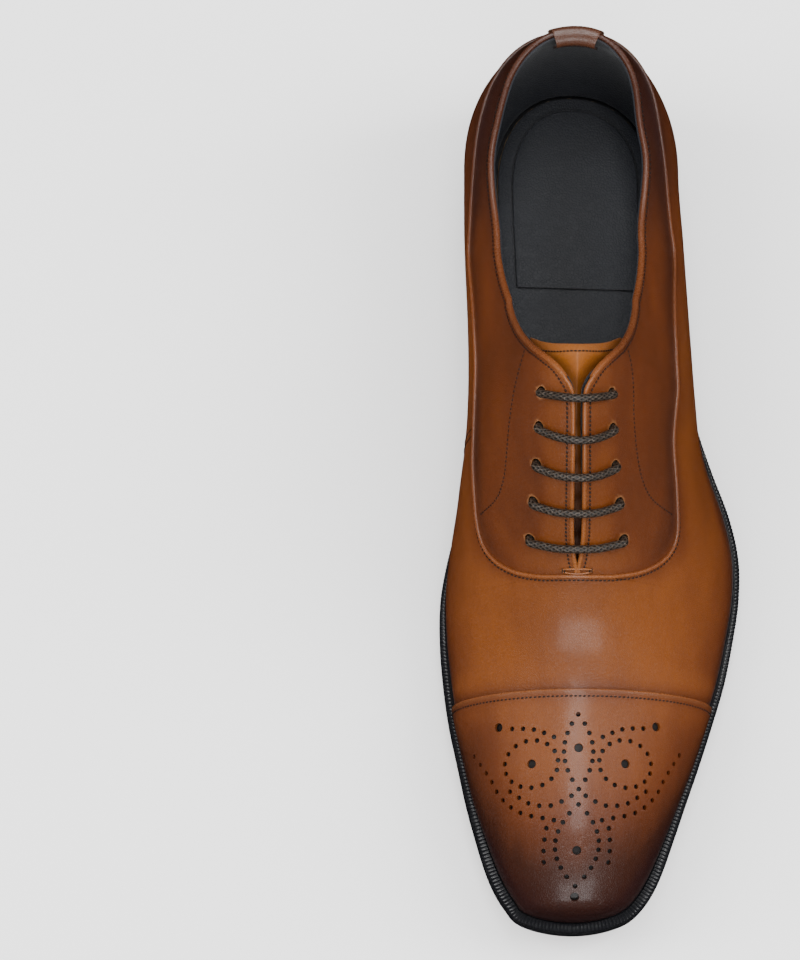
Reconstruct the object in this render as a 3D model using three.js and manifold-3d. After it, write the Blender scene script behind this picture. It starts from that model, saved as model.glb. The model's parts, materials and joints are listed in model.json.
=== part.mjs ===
// A left leather oxford, standing on its sole. Millimetres, +Z up, toe towards -Y, outside at +X.
// Every piece of the upper follows one surface, the last. A place on it is (side, s, t): side +1 outside or
// -1 inside, s the way along the shoe from the toe (round the heel after HEEL_FAN), t from the sole edge 0
// to the ridge 1.
import * as THREE from "three";
import Module from "manifold-3d";

const wasm = await Module();
wasm.setup();

const OUT = 1;
const IN = -1;
const SIDES = [OUT, IN];
const LENGTH = 305;
const TOE = 5.8; // where the last meets the sole at the toe tip
const HEEL_FAN = 262; // from here the sections turn round the heel
const FAN_LENGTH = 60;
const HEEL_END = HEEL_FAN + FAN_LENGTH;
const HEEL_BACK = 300.2;
const HEEL_MIDDLE_X = -6.5;
const HEEL_ROUNDNESS = 0.92;
const TOE_X = -7.9;

const LEATHER = 1.2;
const CAP_OVER = 0.25;
const CAP_THICK = 1.1;
const STIFF_TOP = -1.5;
const STIFF_BOTTOM = -2.2;
const LINING_TOP = -2.75;
const LINING_BOTTOM = -3.5;
const GAP = 0.3;

const CAP_EDGE = 79;
const CAP_LAP = 8;
const THROAT = 113.4;
const WAIST_SEAM = 166;
const SLIT_HALF = 1.65;
const FACING_TOP = 172.4;
const V_END = 203;

const HOLE_ROWS = [125, 135.3, 145.7, 156.3, 166.6];
const HOLE_ARCS = [17.6, 16.9, 16.1, 15.3, 14.6];
const HOLE_RADIUS = 2.15;
const EYELET_RADIUS = 3.6;
const HOLE_SIDES = 8;

const LACE_RADIUS = 1.3;
const LACE_SIDES = 6;
const LACE_UNDER = -5.35;
const LACE_OVER = 1.75;

const TONGUE_START = 107;
const TONGUE_END = 190;
const TONGUE_HOLLOW = 6; // its top is cut hollow: how far the middle ends short of the corners
const HOLLOW_REACH = 15;
const HOLLOW_CURVE = 2.4;
const TONGUE_TOP = -7.25;
const TONGUE_THICK = 2.6;

const FINISHES = {
  upper: { color: 0x9a5520, roughness: 0.36, metalness: 0 },
  lining: { color: 0x2c3038, roughness: 0.7, metalness: 0 },
  tan: { color: 0xb8722a, roughness: 0.45, metalness: 0 },
  edge: { color: 0x232326, roughness: 0.38, metalness: 0 },
  sole: { color: 0x7c3f1c, roughness: 0.3, metalness: 0 },
  rubber: { color: 0x1c1c1e, roughness: 0.65, metalness: 0 },
  cork: { color: 0xa98458, roughness: 0.9, metalness: 0 },
  brass: { color: 0x9c8a5c, roughness: 0.4, metalness: 1 },
  lace: { color: 0x463d36, roughness: 0.6, metalness: 0 },
  board: { color: 0xb49a78, roughness: 0.85, metalness: 0 },
};

// A smooth curve through [x, y] knots, level at its last knot.
function curve(knots) {
  const last = knots.length - 1;
  const slope = (i) => {
    if (i === last) return 0;
    const a = knots[Math.max(i - 1, 0)];
    const b = knots[i + 1];
    return (b[1] - a[1]) / (b[0] - a[0]);
  };
  return (x) => {
    if (x <= knots[0][0]) return knots[0][1];
    if (x >= knots[last][0]) return knots[last][1];
    let i = 0;
    while (x > knots[i + 1][0]) i += 1;
    const [x0, y0] = knots[i];
    const [x1, y1] = knots[i + 1];
    const w = x1 - x0;
    const u = (x - x0) / w;
    const h = u * u * (3 - 2 * u);
    return y0 + (y1 - y0) * h + w * u * (1 - u) * ((1 - u) * slope(i) - u * slope(i + 1));
  };
}

// The same in the square root of the distance from the toe tip, so that a shape closes round at the toe.
function toeCurve(knots) {
  const inner = curve(knots.map(([l, v]) => [Math.sqrt(Math.max(l - TOE, 0)), v]));
  return (l) => inner(Math.sqrt(Math.max(l - TOE, 0)));
}

const edgeX = {
  [OUT]: toeCurve([
    [TOE, TOE_X], [8.9, 7], [12.4, 11.3], [19.4, 16], [33.4, 22.4], [47.5, 28.2], [61.6, 33.6], [75.8, 38.5],
    [90, 43], [104, 46.2], [118.7, 48.8], [133, 49.2], [147, 46.5], [163, 41], [183, 35], [204, 31],
    [237, 28], [HEEL_FAN, 26.8],
  ]),
  [IN]: toeCurve([
    [TOE, TOE_X], [8.9, -23], [12.4, -26], [19.4, -30], [33.4, -35.4], [47.5, -39.9], [61.6, -43.2],
    [75.8, -46.2], [90, -48.2], [104, -49.4], [118.7, -49.4], [133, -47], [150, -42.5], [166, -38],
    [183, -35], [204, -34], [237, -35.5], [HEEL_FAN, -36.3],
  ]),
};
const edgeZ = curve([
  [0, 24], [30, 19.5], [60, 16.6], [90, 14], [120, 12.4], [140, 13], [160, 15.5], [185, 19.8], [210, 23.3],
  [235, 25.6], [HEEL_FAN, 27.2],
]);
const ridgeZ = toeCurve([
  [TOE, edgeZ(TOE)], [8.6, 34.8], [13.7, 38.2], [24, 42], [34, 44.6], [49, 46.3], [69.4, 47.9], [79.7, 49.6],
  [90, 52.8], [100.3, 58.7], [110.6, 67.2], [120.9, 77.2], [136.4, 93.2], [146.7, 102.3], [157, 109.6],
  [167.3, 115], [FACING_TOP, 116.5], [180, 117], [190, 112], [204, 105], [220, 100], [237, 98],
  [HEEL_FAN, 106],
]);
const ridgeX = curve([
  [TOE, TOE_X], [50, -6.2], [THROAT, -7], [180, -7.8], [204, -8.5], [HEEL_FAN, -10],
]);
const BULGE = {
  [OUT]: curve([[TOE, 0], [60, 0.04], [THROAT, 0], [142, -0.12], [163, -0.1], [183, 0.2], [204, 0.37],
    [237, 0.46], [HEEL_FAN, 0.45]]),
  [IN]: curve([[TOE, 0], [60, 0.06], [THROAT, 0.12], [142, 0.3], [163, 0.57], [183, 0.85], [204, 0.95],
    [237, 0.96], [HEEL_FAN, 0.9]]),
};
const LOW_PULL = {
  [OUT]: curve([[TOE, 0.55], [60, 0.52], [THROAT, 0.42], [142, 0.37], [163, 0.33], [183, 0.22], [204, 0.26],
    [237, 0.38], [HEEL_FAN, 0.46]]),
  [IN]: curve([[TOE, 0.55], [60, 0.52], [THROAT, 0.36], [142, 0.35], [163, 0.31], [183, 0.31], [204, 0.4],
    [237, 0.48], [HEEL_FAN, 0.45]]),
};
const TOP_PULL = {
  [OUT]: curve([[TOE, 0.6], [60, 0.6], [THROAT, 0.32], [142, 0.2], [163, 0.26], [183, 0.4], [204, 0.48],
    [237, 0.4], [HEEL_FAN, 0.3]]),
  [IN]: curve([[TOE, 0.6], [60, 0.6], [THROAT, 0.48], [142, 0.5], [163, 0.6], [183, 0.58], [204, 0.7],
    [237, 0.52], [HEEL_FAN, 0.45]]),
};
const BACK = { edgeZ: 28, height: 115, bulge: 0.486, low: 0.317, top: 0.53 };

// The line of the top edge of the shoe and of the seam between the vamp and the quarters, as heights along
// the shoe.
const topLine = curve([
  [166, 121], [172, 117.5], [175.5, 115.4], [178.5, 112], [183, 105], [192, 97.7], [202, 91], [212, 85.5],
  [222, 82], [231, 80.6], [238, 80], [246, 80.4], [257, 82.3], [269, 86.5], [282, 92], [296.5, 98.5],
]);
const seamLine = curve([
  [THROAT, 69.7], [114, 67], [116.8, 62.6], [122.6, 58.6], [129.5, 57.3], [141.5, 59], [162, 62],
  [183, 64.8], [193, 65.5], [203, 65.3], [213.7, 63.7], [229, 61.2], [237, 63.3], [258, 70.4], [282, 77],
  [300, 80.5],
]);

const mix = (a, b, w) => a + (b - a) * w;
const across = (t, c) => (1 - t) ** 3 + 3 * (1 - t) ** 2 * t * (1 + c.bulge) + 3 * (1 - t) * t * t * c.top;
const upward = (t, c) => 3 * (1 - t) ** 2 * t * c.low + 3 * (1 - t) * t * t + t ** 3;

// The cross section of the last at (side, s).
function section(side, s) {
  const l = Math.min(s, HEEL_FAN);
  const base = {
    ridge: [ridgeX(l), l],
    foot: [edgeX[side](l), l],
    edgeZ: edgeZ(l),
    height: ridgeZ(l) - edgeZ(l),
    bulge: BULGE[side](l),
    low: LOW_PULL[side](l),
    top: TOP_PULL[side](l),
  };
  if (s <= HEEL_FAN) return base;
  const angle = (Math.min(s - HEEL_FAN, FAN_LENGTH) / FAN_LENGTH) * (Math.PI / 2);
  const back = Math.sin(angle) ** 2;
  for (const key of Object.keys(BACK)) base[key] = mix(base[key], BACK[key], back);
  const c = Math.max(Math.cos(angle), 0) ** HEEL_ROUNDNESS;
  const b = Math.sin(angle) ** HEEL_ROUNDNESS;
  base.foot = [mix(HEEL_MIDDLE_X, edgeX[side](HEEL_FAN), c), mix(HEEL_FAN, HEEL_BACK, b)];
  return base;
}

// A place on the last, as [x, distance from the toe, z].
function onLast(side, s, t) {
  const c = section(side, s);
  const w = across(t, c);
  return [mix(c.ridge[0], c.foot[0], w), mix(c.ridge[1], c.foot[1], w), c.edgeZ + c.height * upward(t, c)];
}

function normalAt(side, s, t) {
  if (s <= TOE + 1e-6) return [0, -1, 0];
  const d = 1e-3;
  const s0 = Math.max(s - d, TOE);
  const s1 = Math.min(s + d, HEEL_END);
  const t0 = Math.max(t - d, 0);
  const t1 = Math.min(t + d, 1);
  const a = new THREE.Vector3(...onLast(side, s1, t)).sub(new THREE.Vector3(...onLast(side, s0, t)));
  const b = new THREE.Vector3(...onLast(side, s, t1)).sub(new THREE.Vector3(...onLast(side, s, t0)));
  if (t > 1 - 1e-9) b.set(-side, 0, 0);
  if (s > HEEL_END - 1e-6) a.set(-side, 0, 0);
  const n = a.cross(b).multiplyScalar(side).normalize();
  return [n.x, n.y, n.z];
}

// The same place lifted off the last by some millimetres, in the shoe's own frame.
function lifted(side, s, t, lift) {
  const p = onLast(side, s, t);
  const n = normalAt(side, s, t);
  return [p[0] + n[0] * lift, p[1] + n[1] * lift - LENGTH / 2, p[2] + n[2] * lift];
}

function solve(low, high, above) {
  let a = low;
  let b = high;
  for (let i = 0; i < 40; i += 1) {
    const m = (a + b) / 2;
    if (above(m)) b = m;
    else a = m;
  }
  return (a + b) / 2;
}

// t where the last crosses a line of heights.
const tAtLine = (side, s, line, lift = 0) =>
  solve(0, 1, (t) => {
    const p = onLast(side, s, t);
    return p[2] > line(p[1]) + lift;
  });

// t at a distance from the ridge, measured straight across.
function tAtHalf(side, s, half) {
  return solve(0.4, 1, (t) => Math.abs(onLast(side, s, t)[0] - ridgeX(Math.min(s, HEEL_FAN))) < half);
}

// t at a distance from the ridge, measured along the surface.
function tAtArc(side, s, arc) {
  const step = 0.004;
  let t = 1;
  let run = 0;
  let before = onLast(side, s, t);
  while (run < arc && t > step) {
    t -= step;
    const now = onLast(side, s, t);
    run += Math.hypot(now[0] - before[0], now[1] - before[1], now[2] - before[2]);
    before = now;
  }
  return t + ((run - arc) / Math.max(run, 1)) * step;
}

const range = (a, b, n, ease = (u) => u) => Array.from({ length: n + 1 }, (_, i) => mix(a, b, ease(i / n)));

// One strip of a sheet: a grid of {top, under} places, stations by rows.
function strip(side, stations, low, high, rows, top, under) {
  return {
    flip: side === IN,
    grid: stations.map((s) =>
      range(low(s), high(s), rows).map((t) => ({
        top: lifted(side, s, t, typeof top === "function" ? top(s) : top),
        under: lifted(side, s, t, typeof under === "function" ? under(s) : under),
      })),
    ),
  };
}

// Closes strips into one solid: tops, undersides and walls along every free edge.
function solidFrom(strips) {
  const places = [];
  const index = new Map();
  const find = (p) => {
    const key = p.top.map((v) => Math.round(v * 500)).join();
    if (!index.has(key)) {
      index.set(key, places.length);
      places.push(p);
    }
    return index.get(key);
  };
  const faces = [];
  const add = (a, b, c) => {
    if (a !== b && b !== c && a !== c) faces.push([a, b, c]);
  };
  for (const { grid, flip } of strips) {
    for (let i = 0; i + 1 < grid.length; i += 1) {
      for (let j = 0; j + 1 < grid[i].length; j += 1) {
        const q = [grid[i][j], grid[i + 1][j], grid[i + 1][j + 1], grid[i][j + 1]].map(find);
        if (flip) q.reverse();
        add(q[0], q[1], q[2]);
        add(q[0], q[2], q[3]);
      }
    }
  }
  const edges = new Set(faces.flatMap(([a, b, c]) => [`${a},${b}`, `${b},${c}`, `${c},${a}`]));
  const n = places.length;
  const tris = [];
  for (const [a, b, c] of faces) {
    tris.push(a, b, c, n + c, n + b, n + a);
    for (const [p, q] of [[a, b], [b, c], [c, a]]) {
      if (!edges.has(`${q},${p}`)) tris.push(q, p, n + p, q, n + p, n + q);
    }
  }
  return solid(places.flatMap((p) => p.top).concat(places.flatMap((p) => p.under)), tris);
}

function solid(positions, tris) {
  const geometry = new THREE.BufferGeometry();
  geometry.setAttribute("position", new THREE.Float32BufferAttribute(positions, 3));
  geometry.setIndex(tris);
  return manifoldOf(geometry);
}

function manifoldOf(geometry) {
  const keep = new Map();
  const positions = [];
  const source = geometry.getAttribute("position");
  const ids = [];
  for (let i = 0; i < source.count; i += 1) {
    const p = [source.getX(i), source.getY(i), source.getZ(i)];
    const key = p.map((v) => Math.round(v * 2000)).join();
    if (!keep.has(key)) {
      keep.set(key, positions.length / 3);
      positions.push(...p);
    }
    ids.push(keep.get(key));
  }
  const order = geometry.index ? Array.from(geometry.index.array) : ids.map((_, i) => i);
  const tris = [];
  for (let i = 0; i < order.length; i += 3) {
    const [a, b, c] = [ids[order[i]], ids[order[i + 1]], ids[order[i + 2]]];
    if (a !== b && b !== c && a !== c) tris.push(a, b, c);
  }
  return new wasm.Manifold(
    new wasm.Mesh({
      numProp: 3,
      vertProperties: new Float32Array(positions),
      triVerts: new Uint32Array(tris),
    }),
  );
}

const shoe = new THREE.Group();
shoe.name = "oxford_shoe_left";

function place(name, body, finish) {
  const m = body.getMesh();
  const positions = new Float32Array(m.numVert * 3);
  for (let i = 0; i < m.numVert; i += 1) {
    positions.set(m.vertProperties.subarray(i * m.numProp, i * m.numProp + 3), i * 3);
  }
  const geometry = new THREE.BufferGeometry();
  geometry.setAttribute("position", new THREE.BufferAttribute(positions, 3));
  geometry.setIndex(new THREE.BufferAttribute(m.triVerts, 1));
  geometry.computeVertexNormals();
  const mesh = new THREE.Mesh(geometry, new THREE.MeshStandardMaterial(FINISHES[finish]));
  mesh.name = name;
  shoe.add(mesh);
}

// A pin across the shoe's wall at an eyelet hole.
function pin(side, row, radius, from, to) {
  const t = tAtArc(side, HOLE_ROWS[row], HOLE_ARCS[row]);
  const a = new THREE.Vector3(...lifted(side, HOLE_ROWS[row], t, from));
  const b = new THREE.Vector3(...lifted(side, HOLE_ROWS[row], t, to));
  const geometry = new THREE.CylinderGeometry(radius, radius, a.distanceTo(b), HOLE_SIDES);
  geometry.applyQuaternion(
    new THREE.Quaternion().setFromUnitVectors(new THREE.Vector3(0, 1, 0), b.clone().sub(a).normalize()),
  );
  geometry.translate(...a.add(b).multiplyScalar(0.5).toArray());
  return manifoldOf(geometry);
}

function punched(body, side, radius) {
  return HOLE_ROWS.reduce((left, _, row) => left.subtract(pin(side, row, radius, -8, 3)), body);
}

// The lowest t at which a layer's underside still stands above the sole edge.
function footing(side, under) {
  return (s) => solve(-0.001, 0.3, (t) => lifted(side, s, t, under)[2] > section(side, s).edgeZ - 0.05);
}

const TOE_STEPS = [0, 0.35, 1.3, 2.8, 5, 8, 12, 18, 26, 36, 48, 60];
const toeStations = (to) => TOE_STEPS.map((d) => TOE + d).filter((s) => s < to);
const heelStations = range(HEEL_FAN, HEEL_END, 6);
const crown = () => 1;
const bothSides = (make) => SIDES.map(make);

const quarterStations = [
  113.75, 114.6, 116, 118.2, 121.5, 126, 132, 139, 147, 156, 163, 166, 169.5, 173.5, 176.5, 179.5, 183, 189,
  196, 204, 214, 226, 238, 250, ...heelStations,
];
const quarterLow = (side) => (s) =>
  s < 114
    ? tAtArc(side, s, SLIT_HALF + 1.2)
    : tAtLine(side, s, (l) => seamLine(l - GAP), GAP / 2);
// Half the slit between the facings, which spreads into a V near the top line.
const slitHalf = curve([
  [THROAT, 0.9], [125.4, SLIT_HALF], [162, SLIT_HALF], [166, 2.3], [170, 4.2], [174, 6.8], [178, 10.2],
  [182, 13.2], [186, 15.6], [190, 17.5], [194, 18.9], [198, 19.9], [V_END, 20.6],
]);
// Share of the binding's width kept free along the V: none beside the slit, all of it past the last hole.
const bound = (s) => Math.min(Math.max((s - 166) / 3, 0), 1);
function quarterHigh(side, below = 1.95) {
  return (s) => {
    const slit = s < V_END ? tAtHalf(side, s, slitHalf(s) + bound(s) * below) : 1;
    return Math.min(slit, tAtLine(side, s, topLine, -below));
  };
}

function makeQuarters() {
  for (const side of SIDES) {
    const sheet = strip(side, quarterStations, quarterLow(side), quarterHigh(side), 6, 0, -LEATHER);
    if (side === IN) {
      sheet.grid[sheet.grid.length - 1] = backEdge(side, quarterLow(side), quarterHigh(side), 6);
    }
    const name = side === OUT ? "lateral_quarter" : "medial_quarter";
    place(name, punched(solidFrom([sheet]), side, HOLE_RADIUS), "upper");
  }
}

// The last column of an inside piece, held back from the centre of the heel by the width of the back seam.
function backEdge(side, low, high, rows) {
  return strip(side, [HEEL_END - 0.6], low, high, rows, 0, -LEATHER).grid[0];
}

const armStations = [114, 116, 118.2, 121.5, 126, 132, 139, 147, 156, 165.8];
const vampHigh = (side) => (s) => (s <= THROAT ? 1 : tAtLine(side, s, seamLine, -GAP / 2));

function makeVamp() {
  const front = [CAP_EDGE - CAP_LAP, 82, 92, 101, 108, THROAT - 0.01];
  const parts = SIDES.map((side) => strip(side, front, footing(side, -LEATHER), crown, 7, 0, -LEATHER));
  const rearward = [175, 185, 195, 204, 213, 222, 231, 240, 251, ...heelStations];
  const outArm = [THROAT - 0.01, ...armStations, ...rearward];
  const inArm = [THROAT - 0.01, ...armStations.slice(0, -1), WAIST_SEAM - GAP];
  parts.push(strip(OUT, outArm, footing(OUT, -LEATHER), vampHigh(OUT), 7, 0, -LEATHER));
  parts.push(strip(IN, inArm, footing(IN, -LEATHER), vampHigh(IN), 7, 0, -LEATHER));
  place("vamp", solidFrom(parts), "upper");
  const rear = [WAIST_SEAM, ...rearward];
  const low = footing(IN, -LEATHER);
  const galosh = strip(IN, rear, low, vampHigh(IN), 6, 0, -LEATHER);
  galosh.grid[galosh.grid.length - 1] = backEdge(IN, low, vampHigh(IN), 6);
  place("medial_galosh", solidFrom([galosh]), "upper");
}

function makeToe() {
  const cap = [...toeStations(62), 70, CAP_EDGE];
  const capTop = CAP_OVER + CAP_THICK;
  const leather = bothSides((side) => strip(side, cap, footing(side, CAP_OVER), crown, 8, capTop, CAP_OVER));
  place("toe_cap", solidFrom(leather), "upper");
  const puff = [...toeStations(62), CAP_EDGE - CAP_LAP - 1];
  const stiff = bothSides((side) => strip(side, puff, footing(side, -1.2), crown, 7, -0.1, -1.2));
  place("toe_puff", solidFrom(stiff), "board");
}

function makeLining() {
  const front = [...toeStations(62), 72, 86, 98, 107, THROAT];
  const vamp = bothSides((side) =>
    strip(side, front, footing(side, LINING_BOTTOM), crown, 6, LINING_TOP, LINING_BOTTOM));
  place("vamp_lining", solidFrom(vamp), "lining");
  const back = [THROAT + 0.4, 117, 122, 130, 139, 148, 158, 165, 169.5, 173.5, 178, 183, 190, 199, 210, 222,
    234, 248, ...heelStations];
  const quarters = bothSides((side) =>
    strip(side, back, footing(side, LINING_BOTTOM), quarterHigh(side), 7, LINING_TOP, LINING_BOTTOM));
  const cut = SIDES.reduce((left, side) => punched(left, side, EYELET_RADIUS + GAP), solidFrom(quarters));
  place("quarter_lining", cut, "lining");
  const counter = [232, 242, 252, ...heelStations];
  const counterTop = (side) => (s) => tAtLine(side, s, () => 68 - Math.max(0, 250 - s) * 1.2);
  const cups = bothSides((side) =>
    strip(side, counter, footing(side, STIFF_BOTTOM), counterTop(side), 5, STIFF_TOP, STIFF_BOTTOM));
  place("heel_counter", solidFrom(cups), "board");
  for (const side of SIDES) {
    const stay = [121.5, 126, 132, 139, 147, 156, 163, 167.5];
    const inner = (s) => tAtHalf(side, s, slitHalf(s) + 1.2 + bound(s));
    const outer = (s) => tAtArc(side, s, 24);
    const body = solidFrom([strip(side, stay, outer, inner, 4, STIFF_TOP - 0.3, STIFF_BOTTOM - 0.1)]);
    const name = side === OUT ? "lateral_facing_stay" : "medial_facing_stay";
    place(name, punched(body, side, EYELET_RADIUS + GAP), "board");
  }
}

const COLLAR_START = 169.5;
function makeCollar() {
  const along = [COLLAR_START, 171.5, 174, 176.5, 179.5, 183, 189, 196, 204, 213, 222, 231, 240, 251,
    ...heelStations];
  const base = (side) => (s) => quarterHigh(side, 1.6)(s);
  const rim = (side) => (s) => quarterHigh(side, 0)(s);
  place("collar_binding", solidFrom(bothSides((side) =>
    strip(side, along, base(side), rim(side), 2, 0.1, LINING_BOTTOM - 0.1))), "upper");
}

// A strap folded over the middle of the collar: up the outside, over the edge and down the inside.
function makeHeelTab() {
  const half = range(HEEL_END - 10, HEEL_END, 3);
  const sheets = bothSides((side) => ({
    flip: side === IN,
    grid: half.map((s) => {
      const rim = tAtLine(side, s, topLine);
      const low = tAtLine(side, s, () => 82.5);
      const inside = tAtLine(side, s, () => 86);
      const places = range(low, rim, 4).map((t) => ({
        top: lifted(side, s, t, 1.5),
        under: lifted(side, s, t, 0.4),
      }));
      const over = lifted(side, s, rim, -1.75);
      places.push({ top: [over[0], over[1], over[2] + 1.9], under: [over[0], over[1], over[2] + 0.6] });
      for (const t of range(rim, inside, 3)) {
        places.push({ top: lifted(side, s, t, -5.1), under: lifted(side, s, t, -4) });
      }
      return places;
    }),
  }));
  place("heel_tab", solidFrom(sheets), "upper");
}

const tongueStations = [TONGUE_START, 112, 117, 123, 130, 138, 147, 156, 165, 172, 178, 184, TONGUE_END];
const tongueLift = curve([
  [TONGUE_START, -5], [114, -5.8], [122, TONGUE_TOP], [168, TONGUE_TOP], [TONGUE_END, -4.6],
]);
const tongueHalf = {
  [OUT]: curve([[TONGUE_START, 17], [116, 22], [126, 35.5], [168, 35.5], [176, 33], [TONGUE_END, 27]]),
  [IN]: curve([[TONGUE_START, 17], [116, 21], [126, 32], [168, 32], [176, 30], [TONGUE_END, 25]]),
};

// How far a place of the tongue falls short of its station, at some distance beside the ridge.
function tongueDip(s, beside) {
  const near = 1 - Math.min(beside / HOLLOW_REACH, 1) ** HOLLOW_CURVE;
  return TONGUE_HOLLOW * near * Math.max((s - FACING_TOP) / (TONGUE_END - FACING_TOP), 0);
}

function makeTongue() {
  const sheets = bothSides((side) => ({
    flip: side === IN,
    grid: tongueStations.map((s) => {
      const low = tAtArc(side, s, tongueHalf[side](s));
      const lift = tongueLift(s);
      return range(0, 1, 8).map((u) => {
        const t = mix(low, 1, u);
        const at = s - tongueDip(s, Math.abs(lifted(side, s, t, lift)[0] - ridgeX(s)));
        return { top: lifted(side, at, t, lift), under: lifted(side, at, t, lift - TONGUE_THICK) };
      });
    }),
  }));
  place("tongue", solidFrom(sheets), "tan");
}

function makeEyelets() {
  for (const side of SIDES) {
    HOLE_ROWS.forEach((_, row) => {
      const bore = pin(side, row, HOLE_RADIUS + 0.2, -8, 3);
      const ring = pin(side, row, EYELET_RADIUS, -3.5, -1.8).subtract(bore);
      place(`${side === OUT ? "lateral" : "medial"}_eyelet_${row + 1}`, ring, "brass");
    });
  }
}

// A round cord through places, with a ring of flats turned along it.
function tube(path, radius, sides) {
  const n = path.length;
  const along = (i) => path[Math.min(i + 1, n - 1)].clone().sub(path[Math.max(i - 1, 0)]).normalize();
  let across0 = new THREE.Vector3(0, 0, 1).cross(along(0)).normalize();
  const positions = [];
  for (let i = 0; i < n; i += 1) {
    const dir = along(i);
    across0 = across0.sub(dir.clone().multiplyScalar(across0.dot(dir))).normalize();
    const other = dir.clone().cross(across0);
    for (let k = 0; k < sides; k += 1) {
      const a = (k / sides) * 2 * Math.PI;
      const p = path[i].clone();
      p.addScaledVector(across0, radius * Math.cos(a)).addScaledVector(other, radius * Math.sin(a));
      positions.push(p.x, p.y, p.z);
    }
  }
  const tris = [];
  for (let i = 0; i + 1 < n; i += 1) {
    for (let k = 0; k < sides; k += 1) {
      const a = i * sides + k;
      const b = i * sides + ((k + 1) % sides);
      tris.push(a, b, b + sides, a, b + sides, a + sides);
    }
  }
  for (let k = 1; k + 1 < sides; k += 1) {
    tris.push(0, k + 1, k);
    tris.push((n - 1) * sides, (n - 1) * sides + k, (n - 1) * sides + k + 1);
  }
  return solid(positions, tris);
}

const lacePoint = (side, s, arc, lift) => lifted(side, s, arc > 0 ? tAtArc(side, s, arc) : 1, lift);
const TAILS = { [IN]: [21.5, 25.5, 30.2], [OUT]: [25, 28.9, 33.4] };
const LACE_END = 147;
const BAR_BOW = [3.4, 4.1, 4.8, 5.1, 3.4];

// Up through one hole, across the slit and down through the other.
function bar(from, row) {
  const s = HOLE_ROWS[row];
  const arc = HOLE_ARCS[row];
  const bow = BAR_BOW[row];
  const half = (side) => [
    lacePoint(side, s, arc, -2.6),
    lacePoint(side, s, arc, 0.3),
    lacePoint(side, s - 0.5, arc - 1.3, LACE_OVER + 0.15),
    lacePoint(side, s - bow * 0.45, arc - 4.8, LACE_OVER),
    lacePoint(side, s - bow * 0.85, arc - 10.5, LACE_OVER),
  ];
  return [...half(from), lacePoint(from, s - bow, 0, LACE_OVER), ...half(-from).reverse()];
}

// Under the facing, through places given as [s, arc].
const hidden = (side, places) => places.map(([s, arc]) => lacePoint(side, s, arc, LACE_UNDER));

// The folded tail of the lace: lanes up and down beside the holes, the last one ending short for the aglet.
function lanes(arcs, near, far) {
  const places = [];
  arcs.forEach((arc, i) => {
    const last = i + 1 === arcs.length;
    const [a, b] = i % 2 ? [far, near] : [near, last ? LACE_END : far];
    places.push([a, arc], [mix(a, b, 0.25), arc], [mix(a, b, 0.5), arc], [mix(a, b, 0.75), arc], [b, arc]);
    if (i + 1 < arcs.length) {
      const turn = Math.sign(b - a) * 1.7;
      places.push([b + turn, mix(arc, arcs[i + 1], 0.5)]);
    }
  });
  return places;
}

function lacePath() {
  const [A, B, C, D, E] = HOLE_ROWS;
  const [a, b, c, d, e] = HOLE_ARCS;
  const tailIn = hidden(IN, [[D + 0.4, d + 1.1], [159, 19.5], ...lanes(TAILS[IN], 163, 131)]).reverse();
  const tailOut = hidden(OUT, [[E - 0.3, e + 1.1], [166.5, 20.5], ...lanes(TAILS[OUT], 163, 131)]);
  return [
    ...tailIn,
    ...bar(IN, 3),
    ...hidden(OUT, [[D - 0.8, d - 0.9], [151.5, 11], [146, 10.2], [140.5, 11], [B + 0.8, b - 0.9]]),
    ...bar(OUT, 1),
    ...hidden(IN, [[B - 1.2, b - 0.4], [A + 1.2, a - 0.4]]),
    ...bar(IN, 0),
    ...hidden(OUT, [[A + 0.8, a + 0.9], [130, 21], [136, 21.4], [141.5, 20.6], [C - 0.8, c + 0.9]]),
    ...bar(OUT, 2),
    ...hidden(IN, [[C + 0.8, c - 0.9], [150.5, 10.2], [156.5, 9.4], [162, 10], [E - 0.8, e - 0.9]]),
    ...bar(IN, 4),
    ...tailOut,
  ].map((p) => new THREE.Vector3(...p));
}

const AGLET_LENGTH = 15;
const AGLET_RADIUS = 1.35;

function makeLace() {
  const path = new THREE.CatmullRomCurve3(lacePath(), false, "centripetal");
  const length = path.getLength();
  const fine = path.getSpacedPoints(Math.round(length / 4));
  place("lace", tube(fine, LACE_RADIUS, LACE_SIDES), "lace");
  for (const side of SIDES) {
    const name = side === OUT ? "lateral_aglet" : "medial_aglet";
    const arc = TAILS[side][2];
    const from = LACE_END - 0.9;
    const line = hidden(side, range(from, from - AGLET_LENGTH, 4).map((s) => [s, arc]));
    place(name, tube(line.map((p) => new THREE.Vector3(...p)), AGLET_RADIUS, 8), "lace");
  }
}

// The plan line of the sole edge, moved outwards by some millimetres.
function planPoint(side, s, out) {
  const [x, l] = section(side, s).foot;
  if (s <= TOE + 1e-6) return [x, l - out];
  if (s >= HEEL_END - 1e-6) return [x, l + out];
  const before = section(side, Math.max(s - 0.05, TOE)).foot;
  const after = section(side, Math.min(s + 0.05, HEEL_END)).foot;
  const run = Math.hypot(after[0] - before[0], after[1] - before[1]);
  const n = [(side * (after[1] - before[1])) / run, (-side * (after[0] - before[0])) / run];
  return [x + n[0] * out, l + n[1] * out];
}

// A flat piece of the bottom: it fills its plan line between two heights that vary along the shoe.
function slab(stations, out, top, under, rows = 3) {
  const reach = typeof out === "function" ? out : () => out;
  const grid = stations.map((s) => {
    const [a, b] = [planPoint(IN, s, reach(s, IN)), planPoint(OUT, s, reach(s, OUT))];
    return range(0, 1, rows).map((w) => {
      const x = mix(a[0], b[0], w);
      const l = mix(a[1], b[1], w);
      return { top: [x, l - LENGTH / 2, top(l)], under: [x, l - LENGTH / 2, under(l)] };
    });
  });
  return solidFrom([{ grid, flip: true }]);
}

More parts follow.
